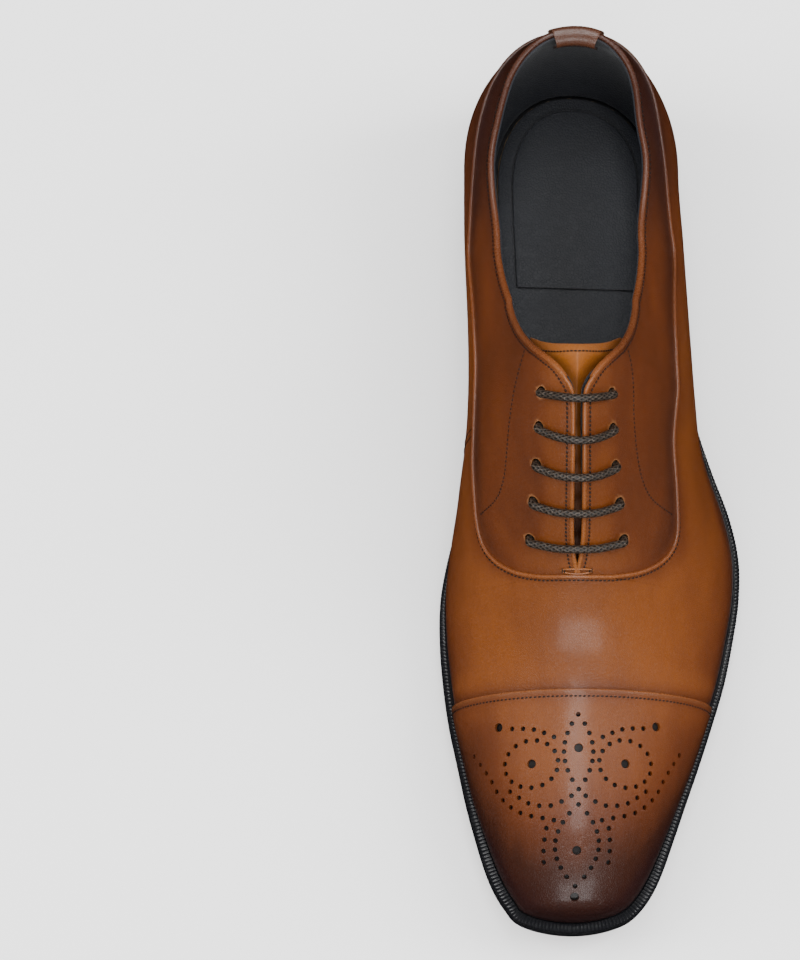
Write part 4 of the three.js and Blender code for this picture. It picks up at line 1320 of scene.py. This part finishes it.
@dataclass
class Tongue:
    """The tongue, which swings at its sewn foot."""

    calf: bpy.types.Material
    thread: bpy.types.Material
    sewing: Sewing
    start: float = 107.0
    end: float = 190.0
    hollow: float = 6.0
    reach: float = 15.0
    bend: float = 2.4
    thickness: float = 2.6
    lift: Curve = field(default_factory=lambda: Curve([(107, -5), (114, -5.8), (122, -7.25), (168, -7.25),
                                                       (190, -4.6)]))

    def half(self, side: Side) -> Curve:
        """Returns half the tongue's width along it."""
        if side is Side.OUT:
            return Curve([(107, 17), (116, 22), (126, 35.5), (168, 35.5), (176, 33), (190, 27)])
        return Curve([(107, 17), (116, 21), (126, 32), (168, 32), (176, 30), (190, 25)])

    def dip(self, s: Array, beside: Array) -> Array:
        """Returns how far a place falls short of its station, at a distance beside the ridge."""
        rise = np.clip((s - FACING_TOP) / (self.end - FACING_TOP), 0, 1)
        return self.hollow * (1 - np.minimum(beside / self.reach, 1) ** self.bend) * rise

    def relax(self, grid: Array) -> Array:
        """Returns the sheet with its crest rounded, where hanging it under the upper would fold it."""
        weight = near(np.arange(grid.shape[1]) - grid.shape[1] // 2, 13)[None, 1:-1, None]
        for _ in range(60):
            middle = (grid[:, :-2] + grid[:, 2:]) / 2
            grid[:, 1:-1] += (middle - grid[:, 1:-1]) * 0.5 * weight
        return grid

    def build(self) -> None:
        """Makes the tongue and the row along its top."""
        s = np.r_[np.linspace(self.start, FACING_TOP, 70), np.linspace(FACING_TOP + 0.6, self.end, 36)]
        u = np.linspace(0, 1, 41)[None, :]
        halves = []
        for side in Side:
            low = LAST.at_arc(side, s, self.half(side)(s))
            t = low[:, None] * (1 - u) + u
            lift = np.broadcast_to(self.lift(s)[:, None], t.shape)
            level = np.broadcast_to(s[:, None], t.shape)
            beside = np.abs(LAST.lifted(side, level, t, lift)[..., 0] / MM - RIDGE_X(s)[:, None])
            halves.append(LAST.lifted(side, level - self.dip(level, beside), t, lift))
        tongue = weld([patch("tongue_leather", self.relax(np.hstack([halves[0], halves[1][:, -2::-1]])))])
        tongue.name = "tongue_leather"
        thicken(tongue, self.thickness, 0.35)
        x, l, _ = points_of(tongue).T
        edge = self.end - self.dip(np.full(len(x), self.end), np.abs(x - RIDGE_X(l)))
        paint(tongue, "burnish", 0.10 + ease(l, 160, 125) * 0.5 + near(edge - l, 3) * 0.10)
        paint(tongue, "rim", near(np.maximum(edge - l - 0.1, 0), 0.5) * 1.3)
        smooth(tongue)
        dress(tongue, self.calf, Body.TONGUE, ["tongue"])
        arcs = np.linspace(22, 0, 70)
        row = np.full(70, self.end - 3.4)
        paths, normals = [], []
        for side in Side:
            flat = LAST.lifted(side, row, LAST.at_arc(side, row, arcs), self.lift(row))
            at = row - self.dip(np.full(70, self.end), np.abs(flat[:, 0] / MM - RIDGE_X(row)))
            t = LAST.at_arc(side, at, arcs)
            paths.append(LAST.lifted(side, at, t, self.lift(row) + 0.08))
            normals.append(LAST.normal(side, at, t))
        path = np.vstack([paths[0], paths[1][::-1][1:]])
        normal = np.vstack([normals[0], normals[1][::-1][1:]])
        self.sewing.sew(Row("tongue_row", path, normal), self.thread, "tongue_leather", Body.TONGUE)


@dataclass
class Lacing:
    """The round lace, from one hidden end to the other."""

    braid: bpy.types.Material
    radius: float = 1.32
    over: float = 1.75
    bows: tuple[float, ...] = (3.4, 4.1, 4.8, 5.1, 3.4)
    tails: dict[Side, tuple[float, ...]] = field(
        default_factory=lambda: {Side.IN: (21.5, 25.5, 30.2), Side.OUT: (25, 28.9, 33.4)})
    tail_end: float = 147.0

    def at(self, side: Side, s: float, arc: float, lift: float) -> Array:
        """Returns a place of the lace at a distance from the ridge."""
        t = LAST.at_arc(side, np.array([s]), arc) if arc > 0 else np.array([1.0])
        return LAST.lifted(side, np.array([s]), t, lift)[0]

    def bar(self, side: Side, row: int) -> list[Array]:
        """Returns the way up through one hole, across the slit and down the other."""
        s, arc, bow = HOLE_ROWS[row], HOLE_ARCS[row], self.bows[row]

        def half(at_side: Side) -> list[Array]:
            """Returns the way from under a hole to near the slit."""
            return [self.at(at_side, s, arc, -2.6), self.at(at_side, s, arc, 0.3),
                    self.at(at_side, s - 0.5, arc - 1.3, self.over + 0.15),
                    self.at(at_side, s - bow * 0.45, arc - 4.8, self.over),
                    self.at(at_side, s - bow * 0.85, arc - 10.5, self.over)]

        other = Side.IN if side is Side.OUT else Side.OUT
        return [*half(side), self.at(side, s - bow, 0, self.over), *half(other)[::-1]]

    def hidden(self, side: Side, places: Sequence[tuple[float, float]]) -> list[Array]:
        """Returns places under the facing."""
        return [self.at(side, s, arc, LACE_UNDER) for s, arc in places]

    def lanes(self, arcs: Sequence[float], near_end: float, far_end: float) -> list[tuple[float, float]]:
        """Returns the folded tail: lanes up and down beside the holes."""
        places: list[tuple[float, float]] = []
        for i, arc in enumerate(arcs):
            last = i + 1 == len(arcs)
            a, b = (far_end, near_end) if i % 2 else (near_end, self.tail_end if last else far_end)
            places += [(a + (b - a) * k, arc) for k in (0, 0.25, 0.5, 0.75, 1)]
            if not last:
                places.append((b + math.copysign(1.7, b - a), (arc + arcs[i + 1]) / 2))
        return places

    def path(self) -> Array:
        """Returns the whole way of the lace."""
        a_s, b_s, c_s, d_s, e_s = HOLE_ROWS
        a, b, c, d, e = HOLE_ARCS
        out, inn = Side.OUT, Side.IN
        lanes = {side: self.lanes(self.tails[side], 163, 131) for side in Side}
        tail_in = self.hidden(inn, [(d_s + 0.4, d + 1.1), (159, 19.5), *lanes[inn]])[::-1]
        tail_out = self.hidden(out, [(e_s - 0.3, e + 1.1), (166.5, 20.5), *lanes[out]])
        return np.array([
            *tail_in,
            *self.bar(inn, 3),
            *self.hidden(out, [(d_s - 0.8, d - 0.9), (151.5, 11), (146, 10.2), (140.5, 11), (b_s + 0.8, b - 0.9)]),
            *self.bar(out, 1),
            *self.hidden(inn, [(b_s - 1.2, b - 0.4), (a_s + 1.2, a - 0.4)]),
            *self.bar(inn, 0),
            *self.hidden(out, [(a_s + 0.8, a + 0.9), (130, 21), (136, 21.4), (141.5, 20.6), (c_s - 0.8, c + 0.9)]),
            *self.bar(out, 2),
            *self.hidden(inn, [(c_s + 0.8, c - 0.9), (150.5, 10.2), (156.5, 9.4), (162, 10), (e_s - 0.8, e - 0.9)]),
            *self.bar(inn, 4),
            *tail_out,
        ])

    def build(self) -> None:
        """Rolls a long grid round the path and presses the braid into it."""
        path = even(smooth_path(self.path()), 0.00042)
        tangent = np.gradient(path, axis=0)
        tangent /= np.linalg.norm(tangent, axis=1, keepdims=True)
        side = np.cross((0, 0, 1.0), tangent[0])
        sides = []
        for d in tangent:
            side = side - d * np.dot(side, d)
            side = side / np.linalg.norm(side)
            sides.append(side)
        first = np.array(sides)
        second = np.cross(tangent, first)
        flats = 18
        a = np.linspace(0, 2 * math.pi, flats + 1)
        run = np.linspace(0, 1, len(path))
        weave = np.maximum(np.sin(run[:, None] * 250 * 2 * math.pi + 6 * a[None, :]),
                           np.sin(run[:, None] * 250 * 2 * math.pi - 6 * a[None, :]))
        radius = (self.radius + 0.07 * weave) * MM
        places = (path[:, None, :] + radius[..., None] * (np.cos(a)[None, :, None] * first[:, None, :]
                                                           + np.sin(a)[None, :, None] * second[:, None, :]))
        lace = weld([patch("lace_braid", places[:, ::-1])], 1e-6)
        close_ends(lace)
        smooth(lace, 60)
        dress(lace, self.braid, replaces=["lace"])


def ring_of(side_stations: Array, across: int, out: Callable[[Array, Side], Array], top: Curve | Callable,
            under: Curve | Callable, curl: float, rows: int = 5) -> Array:
    """Returns closed sections of a flat piece with rounded edges, from toe to heel.

    Args:
        side_stations: ways along the shoe.
        across: steps across its faces.
        out: how far outside the last's plan line its edge lies.
        top: height of its top along the shoe.
        under: height of its underside along the shoe.
        curl: radius of its edges in millimetres.
        rows: steps of each rounded edge.

    Returns:
        Places in metres, stations by points of the section, closed on themselves.
    """
    s = side_stations
    reach = {side: np.asarray(out(s, side), float) for side in Side}
    a = np.linspace(0, math.pi / 2, rows)
    wall = [(-curl * (1 - math.sin(k)), -curl * (1 - math.cos(k))) for k in a]
    loop = []

    def point(side: Side, inset: float, height: Callable, drop: float) -> Array:
        """Returns one line of the edge."""
        p = LAST.plan(side, s, reach[side] + inset)
        return np.stack([p[:, 0], p[:, 1], height(p[:, 1]) + drop], -1)

    def face(first: Array, last: Array, height: Callable) -> list[Array]:
        """Returns the lines across a face, between its two edges."""
        lines = []
        for w in np.linspace(0, 1, across + 1)[1:-1]:
            p = first * (1 - w) + last * w
            lines.append(np.stack([p[:, 0], p[:, 1], height(p[:, 1])], -1))
        return lines

    right_top = [point(Side.OUT, i, top, d) for i, d in wall]
    right_low = [point(Side.OUT, i, under, -d) for i, d in wall[::-1]]
    left_low = [point(Side.IN, i, under, -d) for i, d in wall]
    left_top = [point(Side.IN, i, top, d) for i, d in wall[::-1]]
    loop += right_top + right_low
    loop += face(right_low[-1], left_low[0], under)
    loop += left_low + left_top
    loop += face(left_top[-1], right_top[0], top)
    loop.append(loop[0])
    places = np.stack(loop, 1)
    return (places - (0, LENGTH / 2, 0)) * MM


@dataclass
class Bottom:
    """Welt, heel rand, outsole, rubber forepart, sock lining and heel pad."""

    edge: bpy.types.Material
    sole: bpy.types.Material
    rubber: bpy.types.Material
    lining: bpy.types.Material
    pad: bpy.types.Material
    notch: float = 1.3

    def stations(self) -> Array:
        """Returns ways along the whole sole, close together at both ends."""
        return np.r_[toe_run(34, 40), np.linspace(35.5, FAN, 120), np.linspace(FAN + 1.4, END, 46)]

    def slab(self, name: str, places: Array) -> bpy.types.Object:
        """Returns a flat piece made from closed sections."""
        piece = weld([patch(name, places)], 1e-6)
        close_ends(piece)
        pick_up(piece)
        bpy.ops.object.mode_set(mode="EDIT")
        bpy.ops.mesh.select_all(action="SELECT")
        bpy.ops.mesh.normals_make_consistent(inside=False)
        bpy.ops.object.mode_set(mode="OBJECT")
        smooth(piece, 35)
        return piece

    def band(self, name: str, start: float, end: float, wheel: bool) -> bpy.types.Object:
        """Makes a strip that runs round the sole's edge between the upper and the outsole.

        Args:
            name: the piece's name.
            start: where it starts and ends at the waist.
            end: its far station, the toe or the back of the heel.
            wheel: whether its upper edge is pressed by the fudge wheel.

        Returns:
            The piece.
        """
        fine = np.linspace(0, 1, 4000)
        s = start + (end - start) * (1 - (1 - fine) ** 2)
        runs = [np.c_[LAST.plan(side, s, MARGIN(s)), s] for side in Side]
        line = np.vstack([runs[0], runs[1][::-1][1:]])
        which = np.r_[np.ones(len(s)), -np.ones(len(s) - 1)]
        run = np.r_[0, np.cumsum(np.linalg.norm(np.diff(line[:, :2], axis=0), axis=1))]
        step = self.notch / 4
        at = np.linspace(0, run[-1], int(run[-1] / step))
        ways = np.interp(at, run, line[:, 2])
        outer = np.interp(at, run, which) >= 0
        press = (0.5 + 0.5 * np.cos(at / self.notch * 2 * math.pi)) ** 1.5 * (1.0 if wheel else 0.0)
        fade = ease(ways, 206, 190) if wheel else 1.0
        press = press * fade
        margin = MARGIN(ways)
        profile = [(-5.0, "low", 0.0, 0.0), (-5.0, "top", 0.0, 0.0), (0.2, "top", -0.1, 0.0), (0.9, "top", -0.55, 0.0),
                   (1.3, "top", -0.5, 0.0), (1.6, "top", 0.05, 0.35), (2.4, "top", 0.15, 0.6), (3.4, "edge", 0.1, 0.65),
                   (3.9, "edge", -0.15, 0.6), (4.4, "edge", -0.7, 0.5), (4.5, "edge", -1.5, 0.35),
                   (4.45, "edge", -2.0, 0.15), (4.2, "low", 0.35, 0.0), (4.0, "low", 0.0, 0.0)]
        loop = []
        for out, base, lift, pressed in profile:
            share = np.clip(out / 4.5, -2, 1)
            reach = np.where(share > 0, share * margin, out)
            if base != "top" and out > 3:
                reach = margin - (4.5 - out) * 0.8
            reach = reach - press * pressed * 0.35 * (base == "edge")
            p = np.where(outer[:, None], LAST.plan(Side.OUT, ways, reach), LAST.plan(Side.IN, ways, reach))
            top = EDGE_Z(np.minimum(p[:, 1], FAN)) - 0.35
            low = SOLE_TOP(p[:, 1]) + 0.12
            slim = np.clip((top - low) / 3.4, 0.3, 1.2)
            z = (low if base == "low" else top) + lift * slim - press * pressed * 0.62
            loop.append(np.stack([p[:, 0], p[:, 1], z], -1))
        loop.append(loop[0])
        places = (np.stack(loop, 1) - (0, LENGTH / 2, 0)) * MM
        piece = weld([patch(name, places)], 1e-6)
        close_ends(piece)
        smooth(piece, 32)
        return piece

    def build(self) -> None:
        """Makes the bottom of the shoe."""
        welt = self.band("welt_leather", 208.0, TOE, True)
        dress(welt, self.edge, replaces=["welt"])
        rand = self.band("heel_rand_leather", 208.6, END, False)
        dress(rand, self.edge, replaces=["heel_rand"])
        s = self.stations()
        outsole = self.slab("outsole_leather", ring_of(s, 14, lambda w, _: MARGIN(w), SOLE_TOP, SOLE_UNDER, 1.0))
        _, l, z = points_of(outsole).T
        outline = ease(z - SOLE_UNDER(l), 0.1, 0.8)
        paint(outsole, "burnish", ease(l, 175, 205) * 0.16 + outline * 1.2)
        dress(outsole, self.sole, replaces=["outsole"])
        outsole.data.materials.append(self.edge)
        normals = np.empty(len(outsole.data.polygons) * 3)
        outsole.data.polygons.foreach_get("normal", normals)
        index = (normals.reshape(-1, 3)[:, 2] > -0.72).astype(np.int32)
        outsole.data.polygons.foreach_set("material_index", index)
        forepart = np.linspace(34, 147, 60)
        tread = self.slab("forepart_tread_rubber", ring_of(
            forepart, 14, lambda w, _: MARGIN(w) - 9, lambda l: SOLE_UNDER(l) - 0.05, TREAD_UNDER, 0.7))
        dress(tread, self.rubber, replaces=["forepart_tread"])
        inset = -4.1

        def bed(height: float) -> Callable[[Array], Array]:
            """Returns the insole's bed, raised by a height."""
            return lambda l: EDGE_Z(np.minimum(l, FAN)) + height

        lean = Curve([(0, 0.3), (95, 0.6), (125, 3.2), (150, 4.2), (170, 2.2), (190, 0.4), (FAN, 0)])
        sock = self.slab("sock_lining_leather", ring_of(
            s, 10, lambda w, side: inset - 0.5 - lean(w) * (side is Side.OUT), bed(3.9), bed(2.9), 0.3))
        dress(sock, self.lining, replaces=["sock_lining"])
        rear = np.r_[np.linspace(226, FAN, 30), np.linspace(FAN + 2, END, 30)]
        pad = self.slab("heel_pad_leather", ring_of(
            rear, 10, lambda w, side: inset - 5.5 - lean(w) * (side is Side.OUT), bed(5.4), bed(4.2), 0.5))
        dress(pad, self.pad, replaces=["heel_pad"])


@dataclass
class Heel:
    """The stacked heel: two lifts, a rubber top piece and its nails."""

    edge: bpy.types.Material
    rubber: bpy.types.Material
    metal: bpy.types.Material
    lift_top: float = 12.9
    lift_low: float = 7.7

    def layer(self, bottom: Bottom, name: str, reach: float, top: Callable, under: Callable,
              curl: float) -> bpy.types.Object:
        """Returns one layer of the heel.

        Args:
            bottom: the bottom it is stacked under.
            name: the layer's name.
            reach: millimetres past the sole's margin.
            top: height of its upper face along the shoe.
            under: height of its lower face along the shoe.
            curl: how far its edges are rounded, in millimetres.

        Returns:
            The piece.
        """
        s = np.r_[np.linspace(218, FAN, 40), np.linspace(FAN + 1.4, END, 46)]
        return bottom.slab(name, ring_of(s, 12, lambda w, _: MARGIN(w) + reach, top, under, curl))

    def build(self, bottom: Bottom) -> None:
        """Makes the layers and sets the nails."""

        def flat(value: float) -> Callable[[Array], Array]:
            """Returns a level plane at a height."""
            return lambda l: value + 0 * l

        upper = self.layer(bottom, "heel_lift_upper_leather", 0.0, lambda l: SOLE_UNDER(l) - 0.06,
                           flat(self.lift_top), 0.22)
        dress(upper, self.edge, replaces=["heel_lift_upper"])
        lower = self.layer(bottom, "heel_lift_lower_leather", -0.2, flat(self.lift_top - 0.06),
                           flat(self.lift_low), 0.22)
        dress(lower, self.edge, replaces=["heel_lift_lower"])
        top = self.layer(bottom, "top_piece_rubber", -0.3, flat(self.lift_low - 0.08), flat(0.0), 0.5)
        dress(top, self.rubber, replaces=["top_piece"])
        self.nails()

    def nails(self) -> None:
        """Sets a row of small domed nails into the top piece."""
        s = np.r_[np.linspace(226, FAN, 4), np.linspace(FAN + 12, END, 4)]
        heads = []
        for side in Side:
            for place in LAST.plan(side, s[:-1] if side is Side.IN else s, -6.0):
                lay_down()
                x, y = place[0] * MM, (place[1] - LENGTH / 2) * MM
                bpy.ops.mesh.primitive_cylinder_add(vertices=20, radius=0.0013, depth=0.0012,
                                                    location=(x, y, 0.0006))
                head = bpy.context.object
                bpy.ops.object.transform_apply(location=True, rotation=True, scale=True)
                modify(head, "BEVEL", width=0.0003, segments=2)
                heads.append(head)
        nails = weld(heads, 1e-7)
        nails.name = "heel_nails"
        smooth(nails)
        dress(nails, self.metal)


@dataclass
class Studio:
    """Camera, soft lights and a pale floor."""

    aim: tuple[float, float, float] = (-0.066, 0.0019, 0.040)
    distance: float = 1.5
    tilt: float = 14.7
    lens: float = 164.4

    def camera(self) -> None:
        """Sets the camera over the shoe, a little towards the toe."""
        data = bpy.data.cameras.new("camera")
        data.sensor_fit = "VERTICAL"
        data.sensor_height = 36
        data.lens = self.lens
        camera = bpy.data.objects.new("camera", data)
        bpy.context.collection.objects.link(camera)
        a = math.radians(self.tilt)
        aim = Vector(self.aim)
        camera.location = aim + Vector((0, -math.sin(a), math.cos(a))) * self.distance
        camera.rotation_euler = (aim - camera.location).to_track_quat("-Z", "Y").to_euler()
        bpy.context.scene.camera = camera

    def light(self, name: str, place: tuple[float, float, float], size: tuple[float, float], power: float,
              mirrored: bool = True) -> None:
        """Hangs one soft rectangular light, facing the shoe.

        Args:
            name: the light's name.
            place: its middle, in metres.
            size: its width and length, in metres.
            power: in watts.
            mirrored: whether polished leather mirrors it; a fill only brightens.
        """
        data = bpy.data.lights.new(name, "AREA")
        data.shape = "RECTANGLE"
        data.size, data.size_y = size
        data.energy = power
        lamp = bpy.data.objects.new(name, data)
        bpy.context.collection.objects.link(lamp)
        lamp.location = place
        lamp.visible_glossy = mirrored
        lamp.rotation_euler = (Vector((0, 0, 0.05)) - lamp.location).to_track_quat("-Z", "Y").to_euler()

    def floor(self) -> None:
        """Lays a plain pale floor."""
        lay_down()
        bpy.ops.mesh.primitive_grid_add(x_subdivisions=2, y_subdivisions=2, size=8, location=(0, 0, -0.0002))
        floor = bpy.context.object
        floor.name = "floor"
        floor.visible_glossy = False
        r = Recipe("pale_floor")
        floor.data.materials.append(r.finish(Base_Color=(0.92, 0.92, 0.92), Roughness=0.9))

    def build(self) -> None:
        """Sets up the studio."""
        self.camera()
        self.floor()
        self.light("overhead", (-0.02, 0.1, 1.75), (0.42, 1.3), 16)
        self.light("left_fill", (-1.15, 0.05, 0.95), (0.7, 1.5), 24, mirrored=False)
        self.light("right_fill", (1.15, 0.1, 0.95), (0.7, 1.5), 24, mirrored=False)
        self.light("right_strip", (0.95, 0.25, 1.15), (0.12, 1.2), 3.5)
        self.light("left_strip", (-1.05, 0.25, 1.05), (0.10, 1.2), 1.6)
        self.light("toe_box", (0.1, -1.25, 1.1), (1.2, 0.55), 12)
        world = bpy.data.worlds.new("studio")
        world.use_nodes = True
        world.node_tree.nodes["Background"].inputs["Color"].default_value = (1, 1, 1, 1)
        world.node_tree.nodes["Background"].inputs["Strength"].default_value = 1.05
        world.cycles_visibility.glossy = False
        bpy.context.scene.world = world


def dress_frame(finishes: dict[str, bpy.types.Material], own: dict[str, bpy.types.Material]) -> None:
    """Gives every frame node that stays visible its finish.

    Args:
        finishes: finishes by material slot.
        own: finishes of single nodes, which come first.
    """
    for part in frame["record"]["subparts"]:
        name = part["node"]
        finish = own.get(name) or finishes.get(part["material_slot"])
        if name in frame["nodes"] and finish is not None:
            for slot in frame["nodes"][name].material_slots:
                slot.material = finish


def main() -> None:
    """Builds the shoe and its studio."""
    logging.basicConfig(level=logging.INFO, format="%(message)s")
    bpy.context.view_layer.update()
    Studio().build()
    calf = Calf("burnished_calf").make()
    # The folded beads and heel tab get a lighter copy of the calf: partly their own lighter tone, partly painted
    # highlight on their rounded folds.
    piping = Calf("folded_calf", light=(0.20, 0.066, 0.014), middle=(0.120, 0.034, 0.0085),
                  dark=(0.052, 0.0155, 0.0065), deepest=(0.022, 0.0085, 0.0065), grain=0.7, gloss=0.28,
                  shine=0.5).make()
    tan = Calf("tongue_calf", light=(0.23, 0.070, 0.0085), middle=(0.105, 0.030, 0.0055), gloss=0.42,
               coat=0.08).make()
    edge = Waxed("waxed_edge").make()
    sole = SoleLeather("sole_leather").make()
    rubber = Rubber("moulded_rubber").make()
    lining = Lining("goat_lining").make()
    thread = Thread("waxed_thread").make()
    braid = Braid("braided_lace").make()
    brass = Plated("plated_brass").make()
    board = Board("leather_board").make()
    sewing = Sewing()
    sewing.model()
    Upper(calf, piping, lining, thread, sewing).build()
    Tongue(tan, thread, sewing).build()
    Lacing(braid).build()
    bottom = Bottom(edge, sole, rubber, lining, lining)
    bottom.build()
    Heel(edge, rubber, brass).build(bottom)
    # The toe puff behind the medallion is finished near black so the punched holes read as dark pits: painted shade,
    # not the puff's own colour.
    hole_shade = Waxed("painted_shade_backing", colour=(0.006, 0.004, 0.0035), gloss=0.7).make()
    dress_frame({"board": board, "cork": board, "metal": brass, "lace_cotton": Waxed("aglet_film").make()},
                {"toe_puff": hole_shade})


if __name__ == "__main__":
    main()
